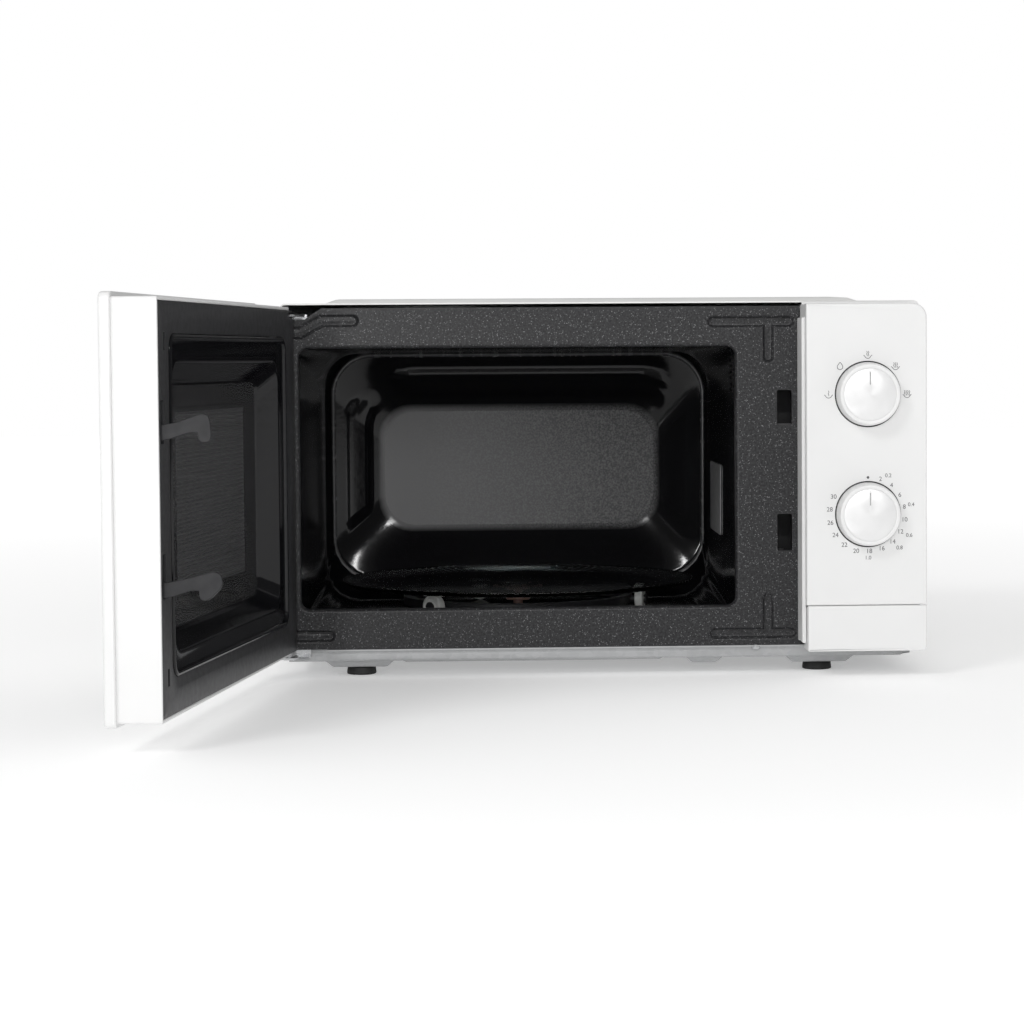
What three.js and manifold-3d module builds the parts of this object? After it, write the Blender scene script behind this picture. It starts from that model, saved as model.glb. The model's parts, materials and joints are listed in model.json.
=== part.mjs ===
// Countertop microwave oven, door open. Millimetres, +Z up, +Y from the front of the oven to its back.
// Working frame: X = 0 is the middle of the cabinet, Y = 0 the face of the front plate, Z = 0 the floor.
// The last lines move everything so that the origin is the middle of the bounding box's base.
import * as THREE from 'three';
import { mergeVertices } from 'three/addons/utils/BufferGeometryUtils.js';
import Module from 'manifold-3d';

const wasm = await Module();
wasm.setup();

// ---- Driving dimensions -------------------------------------------------------------------------
const HALF_WIDTH = 220; // cabinet, side to side
const DEPTH = 318; // back of the outer cover
const TOP = 258; // outer cover's flat top
const COVER_LOW = 15.5; // its lower edge
const RAISED_TOP = 262; // its raised panel
const SHEET = 1; // sheet steel
const GAP = 0.3; // between pieces that touch

const PLATE = { z0: 20.2, z1: 254.6, x: 218.5, t: 1.2 }; // front plate
const OPENING = { x0: -207.7, x1: 92.5, z0: 47.7, z1: 227.2, r: 6 };
const SLOTS = [{ z0: 171.7, z1: 196.7 }, { z0: 85.1, z1: 110.9 }]; // latch slots, upper and lower
const SLOT_X = [121.3, 131.5];

// The cavity is lofted through these outlines, front to back.
const CAVITY = [
  { y: 1.5, x0: -208.5, x1: 94, z0: 32.2, z1: 228, r: 8 },
  { y: 250, x0: -204, x1: 94, z0: 32.2, z1: 225, r: 27 },
  { y: 284, x0: -199, x1: 93, z0: 47, z1: 222.5, r: 32 },
];
const BACK_DISH = { y: 300, x0: -161, x1: 56, z0: 86, z1: 179, r: 25 };
const FLOOR = CAVITY[0].z0;

const PANEL = { x0: 137.5, x1: 220, y0: -34, z0: 18.5, z1: 255.6, wall: 2.5, r: 10 };
const BUTTON_TOP = 49.8;
const LEVER_PIVOT = { y: -4, z: 58 };
const KNOB = { x: 179.5, r: 21.7, front: -46, z: [193.9, 112.2] }; // power dial, timer dial

const HINGE = { x: -215.3, y: -5.7 }; // door's vertical axis
const DOOR_OPEN = 98.35; // degrees
const PIN_R = 1.6; // hinge pins
const DOOR = { x0: -220, x1: 134.5, z0: 17.7, z1: 255.5, inner: -1, back: -27, front: -34 };
const BEZEL = { x0: -220.5, x1: 137.2, z0: 15, z1: 258.3 };
const WINDOW = { x0: -187, x1: 102, z0: 53, z1: 222 }; // outer window
const RECESS = { x0: -193.5, x1: 106, z0: 39.9, z1: 235, r: 10 }; // recess in the inner face
const WELL = { x0: -176, x1: 98, z0: 54, z1: 218, r: 14 }; // the deeper well inside it
const WELL_FLOOR = { x0: -163, x1: 88, z0: 62, z1: 207, r: 12 };
const WELL_Y = [-3, -16]; // its edge and its floor
const HOOK_X = [124, 128];
const SPRING_TOP = 212; // where the latch spring presses on the door
const HOOKS = [{ z: 175, reach: 27 }, { z: 87, reach: 32.5 }]; // arm's underside, how far past the face

const SPIN = { x: -56.5, y: 150 }; // turntable axis
const TRAY_R = 131;
const WHEEL = { r: 8.75, ring: 92, width: 6, angles: [228, 348, 108] };
const FAN = { x: 159, z: 139 };
const FRONT_SCREW = { x: 106.3, y: 3.4 };
const FEET = { x: [-167.9, 152], y: [28.6, 286], r: 10.3, boss: 6 };

// ---- Solids -------------------------------------------------------------------------------------
function solid(geometry) {
  const plain = geometry.clone();
  plain.deleteAttribute('normal');
  plain.deleteAttribute('uv');
  const merged = mergeVertices(plain, 1e-4);
  const index = [...merged.index.array];
  const triangles = [];
  for (let i = 0; i < index.length; i += 3) {
    const [a, b, c] = index.slice(i, i + 3);
    if (a !== b && b !== c && c !== a) triangles.push([a, b, c]);
  }
  const made = (list) => new wasm.Manifold(new wasm.Mesh({
    numProp: 3,
    vertProperties: new Float32Array(merged.attributes.position.array),
    triVerts: new Uint32Array(list.flat()),
  }));
  const body = made(triangles);
  return body.volume() > 0 ? body : made(triangles.map(([a, b, c]) => [a, c, b])); // faces point out
}

function join(first, ...others) {
  return others.reduce((whole, next) => whole.add(next), first);
}

function cut(first, ...others) {
  return others.reduce((whole, next) => whole.subtract(next), first);
}

function box([x0, x1], [y0, y1], [z0, z1]) {
  const geometry = new THREE.BoxGeometry(x1 - x0, y1 - y0, z1 - z0);
  return solid(geometry.translate((x0 + x1) / 2, (y0 + y1) / 2, (z0 + z1) / 2));
}

function roundedOutline({ x0, x1, z0, z1, r }) {
  const shape = new THREE.Shape();
  shape.absarc(x1 - r, z0 + r, r, -Math.PI / 2, 0);
  shape.absarc(x1 - r, z1 - r, r, 0, Math.PI / 2);
  shape.absarc(x0 + r, z1 - r, r, Math.PI / 2, Math.PI);
  shape.absarc(x0 + r, z0 + r, r, Math.PI, Math.PI * 1.5);
  return shape;
}

function outline(points) {
  return new THREE.Shape(points.map(([a, b]) => new THREE.Vector2(a, b)));
}

// A shape drawn in X and Z, standing between two Y.
function alongY(shape, [y0, y1], curveSegments = 4) {
  const geometry = new THREE.ExtrudeGeometry(shape, {
    depth: y1 - y0, bevelEnabled: false, curveSegments,
  });
  return solid(geometry.rotateX(Math.PI / 2).translate(0, y1, 0));
}

// A shape drawn in X and Y, standing between two Z.
function alongZ(shape, [z0, z1], curveSegments = 4) {
  const geometry = new THREE.ExtrudeGeometry(shape, {
    depth: z1 - z0, bevelEnabled: false, curveSegments,
  });
  return solid(geometry.translate(0, 0, z0));
}

// A shape drawn in Y and Z, standing between two X.
function alongX(shape, [x0, x1], curveSegments = 4) {
  const geometry = new THREE.ExtrudeGeometry(shape, {
    depth: x1 - x0, bevelEnabled: false, curveSegments,
  });
  const turn = new THREE.Matrix4().makeBasis(
    new THREE.Vector3(0, 1, 0), new THREE.Vector3(0, 0, 1), new THREE.Vector3(1, 0, 0),
  );
  return solid(geometry.applyMatrix4(turn).translate(x0, 0, 0));
}

// Turned pieces. The profile is [radius, height] points that start and end on the axis or close.
function turned(profile, segments = 24) {
  const points = profile.map(([r, h]) => new THREE.Vector2(r, h));
  return new THREE.LatheGeometry(points, segments).rotateX(Math.PI / 2);
}

function rod(r, h0, h1) {
  return [[0, h0], [r, h0], [r, h1], [0, h1]];
}

function tube(r0, r1, h0, h1) {
  return [[r0, h0], [r1, h0], [r1, h1], [r0, h1], [r0, h0]];
}

function uprightAt(profile, x, y, segments) {
  return solid(turned(profile, segments).translate(x, y, 0));
}

// The profile's height runs along +Y here.
function facingAt(profile, x, z, segments) {
  return solid(turned(profile, segments).rotateX(-Math.PI / 2).translate(x, 0, z));
}

// A skin through outlines set one behind the other along Y, closed at both ends.
function loft(sections, segments = 4) {
  const rings = sections.map((s) => roundedOutline(s).getPoints(segments));
  const count = rings[0].length;
  const positions = [];
  rings.forEach((ring, k) => ring.forEach((p) => positions.push(p.x, sections[k].y, p.y)));
  const index = [];
  for (let k = 0; k + 1 < rings.length; k++) {
    for (let i = 0; i < count; i++) {
      const a = k * count + i;
      const b = k * count + (i + 1) % count;
      index.push(a, a + count, b, b, a + count, b + count);
    }
  }
  const last = (rings.length - 1) * count;
  for (let i = 1; i + 1 < count; i++) {
    index.push(0, i, i + 1, last, last + i + 1, last + i);
  }
  const geometry = new THREE.BufferGeometry();
  geometry.setAttribute('position', new THREE.Float32BufferAttribute(positions, 3));
  geometry.setIndex(index);
  return solid(geometry);
}

function grown(section, by, y = section.y) {
  const { x0, x1, z0, z1, r } = section;
  return { y, x0: x0 - by, x1: x1 + by, z0: z0 - by, z1: z1 + by, r: r + by };
}

// A pressed boss: a block with sloping sides, wide at one Z and narrow at the other.
function pressed(wide, narrow) {
  const flat = ({ x, y, z }) => ({ x0: x[0], x1: x[1], z0: y[0], z1: y[1], y: -z, r: wide.r });
  return loft([flat(narrow), flat(wide)], 2).rotate([-90, 0, 0]);
}

function coil(radius, wire, [z0, z1], turns, x, y) {
  const points = [];
  const steps = turns * 8;
  for (let i = 0; i <= steps; i++) {
    const angle = (i / steps) * turns * Math.PI * 2;
    const z = z0 + wire + ((z1 - z0 - 2 * wire) * i) / steps;
    points.push(new THREE.Vector3(x + radius * Math.cos(angle), y + radius * Math.sin(angle), z));
  }
  const section = new THREE.Shape().absarc(0, 0, wire, 0, Math.PI * 2);
  return solid(new THREE.ExtrudeGeometry(section, {
    extrudePath: new THREE.CatmullRomCurve3(points), steps, curveSegments: 3, bevelEnabled: false,
  }));
}

// ---- Scene graph --------------------------------------------------------------------------------
const oven = new THREE.Group();
const door = new THREE.Group();
door.position.set(HINGE.x, HINGE.y, 0);
door.rotation.z = THREE.MathUtils.degToRad(-DOOR_OPEN);
oven.add(door);

const finishes = {
  white: [0xf2f2f0, 0.35, 0],
  speckled: [0x3a3b3d, 0.5, 0.2],
  blackEnamel: [0x070708, 0.12, 0],
  galvanised: [0x9a9b9c, 0.42, 0.8],
  steel: [0xc4c6c8, 0.3, 0.9],
  aluminium: [0xb8babd, 0.4, 0.9],
  darkPlastic: [0x2c2d2f, 0.55, 0],
  greyPlastic: [0x8c8e90, 0.5, 0],
  whitePlastic: [0xe6e6e2, 0.4, 0],
  hubPlastic: [0x8a6a64, 0.5, 0],
  board: [0x2f5a36, 0.6, 0],
  copper: [0xa8622f, 0.4, 0.8],
  mica: [0x8f9092, 0.7, 0],
  rubber: [0x161616, 0.8, 0],
  glass: [0xdfe6e4, 0.08, 0],
  darkGlass: [0x101214, 0.06, 0],
};

function add(name, body, finish, group = oven) {
  const result = body.getMesh();
  const geometry = new THREE.BufferGeometry();
  geometry.setAttribute('position', new THREE.BufferAttribute(result.vertProperties, 3));
  geometry.setIndex(new THREE.BufferAttribute(result.triVerts, 1));
  geometry.computeVertexNormals();
  const [color, roughness, metalness] = finishes[finish];
  const mesh = new THREE.Mesh(geometry, new THREE.MeshStandardMaterial({ color, roughness, metalness }));
  mesh.name = name;
  group.add(mesh);
  return mesh;
}

// Door pieces are drawn with the door shut and turn about the hinge.
function addToDoor(name, body, finish) {
  add(name, body.translate([-HINGE.x, -HINGE.y, 0]), finish, door);
}

// ---- Cabinet ------------------------------------------------------------------------------------
function basePlate() {
  const z = [11, 12];
  let plate = box([-217, 217], [7, 315], z);
  const walls = [
    box([-217, 217], [7, 8], [11.5, 19.8]),
    box([-190, 217], [0.8, 7.5], [18.8, 19.8]), // lip that the front plate is screwed to
    box([-217, 217], [314, 315], [11.5, 24]),
    box([-217, -216], [7, 315], [11.5, 24]),
    box([216, 217], [7, 315], [11.5, 24]),
  ];
  plate = join(plate, ...walls);
  const bosses = [
    { x: [-193, -143.5], y: [10, 52], z: FEET.boss },
    { x: [127, 177], y: [10, 52], z: FEET.boss },
    { x: [-193, -143.5], y: [264, 308], z: FEET.boss },
    { x: [127, 177], y: [264, 308], z: FEET.boss },
    { x: [57.5, 85.3], y: [10, 60], z: FEET.boss + 0.5 },
    { x: [-139.5, 43], y: [10, 250], z: 9.5 },
  ];
  for (const { x, y, z: bottom } of bosses) {
    const slope = (11 - bottom) * 0.9;
    const inner = { x: [x[0] + slope, x[1] - slope], y: [y[0] + slope, y[1] - slope], z: bottom };
    const outer = { x, y, z: 11.4, r: 4 };
    const lift = (part, by, inset) => ({
      x: [part.x[0] + inset, part.x[1] - inset], y: [part.y[0] + inset, part.y[1] - inset],
      z: part.z + by, r: 4,
    });
    plate = join(plate, pressed(outer, inner));
    plate = cut(plate, pressed(lift(outer, 1, 0.8), lift(inner, 1, 0.8)));
  }
  for (const x of FEET.x) {
    for (const y of FEET.y) plate = cut(plate, uprightAt(rod(3.3, 3, 14), x, y, 12));
  }
  for (let i = 0; i < 7; i++) {
    plate = cut(plate, box([100 + i * 14, 106 + i * 14], [170, 230], [9, 14]));
  }
  return cut(plate, frontScrewHole());
}

function outerCover() {
  const inner = HALF_WIDTH - SHEET;
  const wrap = outline([
    [-HALF_WIDTH, COVER_LOW], [-inner, COVER_LOW], [-inner, TOP - SHEET - 2], [-inner + 2, TOP - SHEET],
    [inner - 2, TOP - SHEET], [inner, TOP - SHEET - 2], [inner, COVER_LOW], [HALF_WIDTH, COVER_LOW],
    [HALF_WIDTH, TOP - 3], [HALF_WIDTH - 3, TOP], [-HALF_WIDTH + 3, TOP], [-HALF_WIDTH, TOP - 3],
  ]);
  let cover = alongY(wrap, [1, DEPTH]);
  const raised = { x: [-182, 174], y: [57, 263], z: RAISED_TOP };
  const ground = { x: [-196, 188], y: [45, 275], z: TOP - 0.5, r: 6 };
  const lower = (part) => ({ ...part, z: part.z - SHEET, r: 6 });
  cover = join(cover, pressed(ground, raised));
  cover = cut(cover, pressed(lower({ ...ground, z: ground.z - 1 }), lower(raised)));
  const flange = [DEPTH - SHEET, DEPTH];
  cover = join(
    cover,
    box([-inner - 0.5, -inner + 10], flange, [COVER_LOW, TOP - 1.5]),
    box([inner - 10, inner + 0.5], flange, [COVER_LOW, TOP - 1.5]),
    box([-inner, inner], flange, [TOP - 11, TOP - 0.5]),
  );
  for (let i = 0; i < 9; i++) {
    const z = [60 + i * 12, 64 + i * 12];
    cover = cut(cover, box([216, 222], [225, 285], z));
  }
  for (let i = 0; i < 6; i++) {
    cover = cut(cover, box([-222, -216], [235, 285], [60 + i * 12, 64 + i * 12]));
  }
  return cut(cover, ...screwPlaces().map(([x, z]) => facingAt(rod(2.2, DEPTH - 4, DEPTH + 2), x, z, 10)));
}

function screwPlaces() {
  return [[-213.5, 60], [-213.5, 210], [213.5, 60], [213.5, 210]];
}

function rearPanel() {
  const y = [DEPTH - 2.3, DEPTH - 1.3];
  let panel = alongY(roundedOutline({ x0: -217, x1: 217, z0: 25, z1: 256, r: 3 }), y);
  for (let row = 0; row < 9; row++) {
    panel = cut(panel, box([112, 204], [DEPTH - 6, DEPTH + 2], [88 + row * 10, 93 + row * 10]));
  }
  for (let row = 0; row < 6; row++) {
    panel = cut(panel, box([-150, -90], [DEPTH - 6, DEPTH + 2], [180 + row * 8, 184 + row * 8]));
  }
  panel = cut(panel, facingAt(rod(7.3, DEPTH - 6, DEPTH + 2), 190, 50, 16));
  return cut(panel, ...screwPlaces().map(([x, z]) => facingAt(rod(2.2, DEPTH - 6, DEPTH + 2), x, z, 10)));
}

function frontPlate() {
  const { x, z0, z1, t } = PLATE;
  const face = outline([[-x, z0], [x, z0], [x, z1], [-192, z1], [-203, 247], [-x, 246]]);
  let plate = alongY(face, [0, t]);
  const flange = [t - 0.2, 9];
  plate = join(
    plate,
    box([-190, x], flange, [z1 - 1, z1]),
    box([-190, x], [t - 0.2, 7], [z0, z0 + 1]),
    box([-x, -x + 1], flange, [z0, 246]),
    box([x - 1, x], flange, [z0, z1]),
  );
  plate = cut(plate, alongY(roundedOutline(OPENING), [-2, 4]));
  for (const { z0: low, z1: high } of SLOTS) plate = cut(plate, box(SLOT_X, [-2, 4], [low, high]));
  return cut(plate, box([143, 214], [-2, 4], [52, 244]), frontScrewHole()); // behind the controls
}

function cavityLiner() {
  const outer = CAVITY.map((s) => grown(s, SHEET));
  const inner = [grown(CAVITY[0], 0, CAVITY[0].y - 1), CAVITY[1], grown(CAVITY[2], 0, CAVITY[2].y + 1)];
  let liner = cut(loft(outer), loft(inner));
  liner = cut(liner, uprightAt(rod(6, FLOOR - 3, FLOOR + 2), SPIN.x, SPIN.y, 16));
  liner = cut(liner, box([92, 97], [130, 206], [92, 136]));
  for (let row = 0; row < 6; row++) {
    liner = cut(liner, box([92, 97], [16, 58], [196 + row * 4, 198 + row * 4])); // air slots
  }
  for (let row = 0; row < 8; row++) {
    for (const y of [20, 50, 80]) {
      liner = cut(liner, box([92, 97], [y, y + 4], [86 + row * 13.5, 90 + row * 13.5]));
    }
  }
  return liner;
}

function cavityBack() {
  const front = CAVITY[2].y + GAP;
  const shell = loft([grown(CAVITY[2], 5, front), grown(CAVITY[2], 5, front + SHEET)]);
  const dish = [grown(CAVITY[2], 0, front), BACK_DISH];
  const outside = [grown(dish[0], 1, front), grown(BACK_DISH, 1, BACK_DISH.y + SHEET)];
  return cut(join(shell, loft(outside)), loft([grown(dish[0], 0, front - 1), dish[0], dish[1]]));
}

function foot(x, y) {
  return uprightAt([
    [0, 0], [FEET.r - 0.8, 0], [FEET.r, 0.8], [FEET.r, FEET.boss - GAP], [3, FEET.boss - GAP],
    [3, 10], [0, 10],
  ], x, y, 16);
}

function hingeBracket(tabZ, legZ) {
  const { x, y } = HINGE;
  const tab = outline([
    [x - 5.5, y - 3], [x - 3, y - 5.5], [x + 3, y - 5.5], [x + 6, y - 3], [-203, 1.6], [-201.5, 1.6],
    [-201.5, 14], [-213, 14], [-213, 3], [x - 5.5, y + 3],
  ]);
  const leg = box([-212, -201.5], [PLATE.t + 2.4, PLATE.t + 3.9], legZ); // clear of the pressed grooves
  return join(alongZ(tab, tabZ), leg);
}

function hingeUpper() {
  const bracket = hingeBracket([249, 250.5], [232, 249.5]);
  return join(bracket, uprightAt(rod(PIN_R, 240, 249.5), HINGE.x, HINGE.y, 16));
}

function hingeLower() {
  const bracket = hingeBracket([14.2, 15.7], [15, 29.5]);
  const behind = box([-214, -190], [5.5, 20], [10, 40]); // clear of the base plate's front wall
  return join(cut(bracket, behind), uprightAt(rod(PIN_R, 15, 25), HINGE.x, HINGE.y, 16));
}

function controlPanel() {
  const { x0, x1, y0, z0, z1, wall, r } = PANEL;
  const face = new THREE.Shape();
  face.moveTo(x0, BUTTON_TOP + GAP);
  face.lineTo(x1, BUTTON_TOP + GAP);
  face.absarc(x1 - r, z1 - r, r, 0, Math.PI / 2);
  face.absarc(x0 + 1, z1 - 1, 1, Math.PI / 2, Math.PI);
  const hollow = roundedOutline({
    x0: x0 + wall, x1: x1 - wall, z0: BUTTON_TOP + wall, z1: z1 - wall, r: r - wall,
  });
  let panel = cut(alongY(face, [y0, -0.4]), alongY(hollow, [y0 + wall, 2]));
  panel = join(panel, box([135.5, x0 + 0.2], [-25, -0.4], [23.7, 246.3])); // rebate beside the door
  panel = join(panel, box([x0 + 1, x1 - r - 2], [-1.8, -0.4], [z1 - 4, z1 + 1.6])); // lip up to the cover
  const housing = box([142, 216.5], [-25, -0.4], [24.5, BUTTON_TOP + 2]);
  const inside = box([144, 214.5], [-23, 2], [26.5, BUTTON_TOP - 1]);
  panel = join(panel, box([135.5, 144], [-7, -0.4], [23.7, BUTTON_TOP + 2]), housing);
  const fingerHole = box([146, 152], [-27, -22], [26.5, 38]);
  const leverSpace = box([145, 153], [-14, 2], [45, 56]);
  panel = cut(panel, inside, fingerHole, leverSpace);
  for (const z of KNOB.z) {
    panel = cut(panel, facingAt(rod(KNOB.r + 0.9, y0 - 1, y0 + 1), KNOB.x, z, 32));
    panel = cut(panel, facingAt(rod(5.5, y0 - 1, 0), KNOB.x, z, 16));
  }
  return panel;
}

function screw(x, y, z, direction) {
  const profile = [[0, -8], [1.9, -8], [1.9, GAP], [3.2, GAP], [3.2, 1.2], [2.2, 2.1], [0, 2.4]];
  const geometry = turned(profile, 10);
  if (direction === 'back') geometry.rotateX(-Math.PI / 2);
  if (direction === 'up') geometry.rotateX(Math.PI);
  return solid(geometry.translate(x, y, z));
}

// ---- Inside the right-hand compartment ----------------------------------------------------------
function magnetron() {
  let body = box([122, 206], [152, 240], [92, 100]);
  body = join(body, box([122, 206], [152, 240], [156, 164]), box([124, 204], [192, 200], [98, 158]));
  for (let i = 0; i < 5; i++) {
    const z = 107 + i * 10;
    body = join(body, box([128, 200], [156, 236], [z, z + 1.2]));
  }
  const core = solid(turned(rod(20, 98, 158), 20).translate(164, 196, 0));
  const antenna = solid(turned(rod(7, 110, 126), 16).rotateY(Math.PI / 2).translate(0, 196, 128));
  return join(body, core, antenna);
}

function waveguide() {
  const duct = box([95.5, 121.5], [126, 224], [86, 168]);
  const inside = box([94, 120], [128, 222], [88, 166]);
  return cut(duct, inside, box([118, 123], [187, 205], [119, 137]));
}

function inverterBoard() {
  const board = box([104, 212], [140, 286], [22, 23.6]);
  const posts = [[108, 144], [208, 144], [108, 282], [208, 282]];
  return join(board, ...posts.map(([x, y]) => uprightAt(rod(2.5, 12.3, 22.5), x, y, 10)));
}

function heatSink() {
  let sink = box([108, 150], [240, 280], [24, 28]);
  for (let i = 0; i < 7; i++) sink = join(sink, box([108 + i * 6.5, 110.5 + i * 6.5], [240, 280], [27, 60]));
  return sink;
}

function transformer() {
  const core = box([158, 204], [168, 222], [24, 68]);
  const windows = [box([150, 210], [176, 190], [34, 58]), box([150, 210], [200, 214], [34, 58])];
  return join(cut(core, ...windows), box([154, 208], [190, 200], [32, 60]));
}

function fanHousing() {
  const { x, z } = FAN;
  const frame = cut(box([104, 214], [280, 312], [84, 194]), facingAt(rod(50, 270, 320), x, z, 28));
  const spider = join(
    facingAt(rod(21, 276, 284), x, z, 20),
    box([x - 3, x + 3], [280, 284], [86, 192]),
    box([106, 212], [280, 284], [z - 3, z + 3]),
  );
  return cut(join(frame, spider), facingAt(rod(17.3, 270, 290), x, z, 20));
}

function fanMotor() {
  return join(facingAt(rod(17, 262, 283.5), FAN.x, FAN.z, 20), facingAt(rod(2.5, 283, 296), FAN.x, FAN.z, 12));
}

function fanBlade() {
  const { x, z } = FAN;
  let blade = facingAt(rod(13, 288, 300), 0, 0, 20);
  for (let i = 0; i < 5; i++) {
    const wing = box([10, 46], [-1.2, 1.2], [-12, 12]).rotate([38, 0, 0]).translate([0, 294.5, 0]);
    blade = join(blade, wing.rotate([0, (360 / 5) * i, 0]));
  }
  return cut(blade, facingAt(rod(2.8, 280, 297), 0, 0, 12)).translate([x, 0, z]);
}

function airDuct() {
  const duct = box([95.5, 150], [54, 132], [178, 222]);
  return cut(duct, box([94, 148], [56, 134], [180, 220]));
}

function dialUnit(z, depth) {
  const { x } = KNOB;
  const body = box([x - 23, x + 23], [-31, -31 + depth], [z - 23, z + 23]);
  const cap = facingAt(rod(15, -34 + depth, -26 + depth), x, z, 20);
  return cut(join(body, cap), facingAt(rod(3.3, -40, -14), x, z, 16));
}

function dialShaft(z) {
  return facingAt(rod(3, KNOB.front + 5, -15), KNOB.x, z, 16);
}

function knob(z) {
  const { r, front, x } = KNOB;
  const profile = [
    [3.3, PANEL.y0 + 2.4], [5, PANEL.y0 + 2.4], [5, PANEL.y0 - 2], [20, PANEL.y0 - 2], [20, PANEL.y0 + 0.6],
    [r, PANEL.y0 + 0.6], [r - 0.2, front + 1.5], [r - 1.7, front], [0, front], [0, front + 4.6],
    [3.3, front + 4.6], [3.3, PANEL.y0 + 2.4],
  ];
  const body = facingAt(profile, x, z, 32);
  const pointer = box([x - 0.4, x + 0.4], [front - 1, front + 0.4], [z + 7, z + 15]);
  return cut(body, pointer);
}

function latchBoard() {
  const shell = box([112, 139], [PLATE.t + GAP, 50], [74, 210]);
  const inside = box([114.5, 136.5], [0, 48], [77, 207]);
  const shelves = [[142, 145]].map((z) => box([114, 137], [4, 49], z));
  const keepers = HOOKS.map(({ z }) => box([114, 137], [3, 11], [z - 6, z - 1.6]));
  let board = join(cut(shell, inside), ...shelves, ...keepers);
  board = cut(board, box([115, 136], [13, 46], [70, 80]));
  return join(board, box([139 - 0.2, 141], [10, 46], [96, 190]));
}

function microswitch(z) {
  const body = box([141.6, 152], [14, 42], [z, z + 16]);
  return join(body, box([144, 149], [41, 47], [z + 2, z + 5]), box([144, 149], [41, 47], [z + 10, z + 13]));
}

// The button's finger tips this lever, and its far end lifts the lower hook.
function releaseLever() {
  const profile = outline([
    [-9, 28], [-5, 28], [-1.5, 50], [0, 54], [26, 62], [26, 66], [-2, 64], [-8, 61], [-8.5, 54],
  ]);
  const reach = box([124, 148], [20, 25], [61.5, 65.5]);
  const riser = box([124, 128], [20, 25], [61.5, 85]);
  return cut(join(alongX(profile, [147, 151]), reach, riser), leverPin(2.3, [140, 160]));
}

function leverPin(r, x) {
  return alongX(new THREE.Shape().absarc(LEVER_PIVOT.y, LEVER_PIVOT.z, r, 0, Math.PI * 2), x);
}

function leverBracket() {
  const ear = box([152, 153.5], [-10, -1], [53.5, 63]);
  return join(leverPin(2, [144, 152.5]), ear, box([152, 166], [-1.8, -GAP], [53.5, 63]));
}

// It goes up through the base plate's lip into the front plate's flange.
function frontScrew() {
  return screw(FRONT_SCREW.x, FRONT_SCREW.y, 18.8, 'up');
}

function frontScrewHole() {
  return uprightAt(rod(2.2, 18, 22), FRONT_SCREW.x, FRONT_SCREW.y, 10);
}

function filterBoard() {
  const board = box([150, 210], [268, 284], [214, 216]);
  const choke = uprightAt(rod(6, 215, 228), 165, 276, 16);
  const bracket = box([152, 208], [282, 284], [200, 215]);
  return join(board, bracket, choke, box([184, 204], [270, 281], [215, 230]));
}

function thermalCutout() {
  const body = uprightAt(rod(8, 229.4, 240), -20, 200, 16);
  return join(body, box([-32, -8], [197, 203], [229.4, 231]));
}

function lampHolder() {
  const holder = box([98, 122], [248, 276], [186, 210]);
  return cut(holder, box([95, 120], [250, 274], [188, 208]), box([118, 124], [257, 267], [193, 203]));
}

function ovenLamp() {
  const profile = [
    [0, 97], [5, 97], [8, 101], [8, 106], [4.5, 113], [4.5, 132], [0, 132],
  ];
  return solid(turned(profile, 16).rotateY(Math.PI / 2).translate(0, 262, 198));
}

function cordGland() {
  return facingAt([
    [4, DEPTH - 12], [9, DEPTH - 12], [9, DEPTH - 2.6], [7, DEPTH - 2.6], [7, DEPTH - 1],
    [9, DEPTH - 1], [7.5, DEPTH + 6], [4, DEPTH + 6], [4, DEPTH - 12],
  ], 190, 50, 16);
}

// The button tips about a line just inside its top edge.
function releaseButton() {
  const { x0, x1, y0, z0 } = PANEL;
  const left = x0 + 1;
  const face = box([left, x1], [y0, y0 + 2.5], [z0, BUTTON_TOP]);
  const side = outline([[y0, z0], [-12, z0], [-12, 45], [y0 + 2, BUTTON_TOP], [y0, BUTTON_TOP]]);
  const walls = [alongX(side, [left, left + 2]), alongX(side, [x1 - 2, x1])];
  const finger = box([147.5, 150.5], [y0 + 2, -9.6], [28, 32]);
  return join(face, ...walls, box([left, x1], [y0, -12], [z0, z0 + 2]), finger);
}

function turntableMotor() {
  const { x, y } = SPIN;
  const body = uprightAt(rod(24, 12.6, 27), x, y, 24);
  const ears = box([x - 32, x + 32], [y - 6, y + 6], [26, 27.5]);
  return cut(join(body, ears), uprightAt(rod(3.9, 20, 30), x, y, 16));
}

function turntableCoupler() {
  const { x, y } = SPIN;
  let hub = join(uprightAt(rod(3.5, 21, 42), x, y, 16), uprightAt(rod(9, 40, 46), x, y, 24));
  for (let i = 0; i < 3; i++) {
    const lobe = join(box([0, 17], [-4, 4], [42, 46]), uprightAt(rod(4, 42, 46), 17, 0, 12));
    hub = join(hub, lobe.rotate([0, 0, 30 + 120 * i]).translate([x, y, 0]));
  }
  return hub;
}

function glassTray() {
  const under = FLOOR + 2 * WHEEL.r + 2 * GAP;
  const profile = [
    [0, under], [98, under], [104, under + 0.3], [TRAY_R - 3, under + 3], [TRAY_R, under + 4.5],
    [TRAY_R, under + 6], [TRAY_R - 2, under + 6.4], [TRAY_R - 6, under + 5.6], [108, under + 4],
    [101, under + 3.2], [0, under + 3.2],
  ];
  let tray = uprightAt(profile, SPIN.x, SPIN.y, 44);
  for (let i = 0; i < 3; i++) {
    const lug = box([8, 16], [-3, 3], [46.6, under + 0.5]).rotate([0, 0, 90 + 120 * i]);
    tray = join(tray, lug.translate([SPIN.x, SPIN.y, 0]));
  }
  return tray;
}

function wheelHeight() {
  return FLOOR + GAP + WHEEL.r;
}

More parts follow.
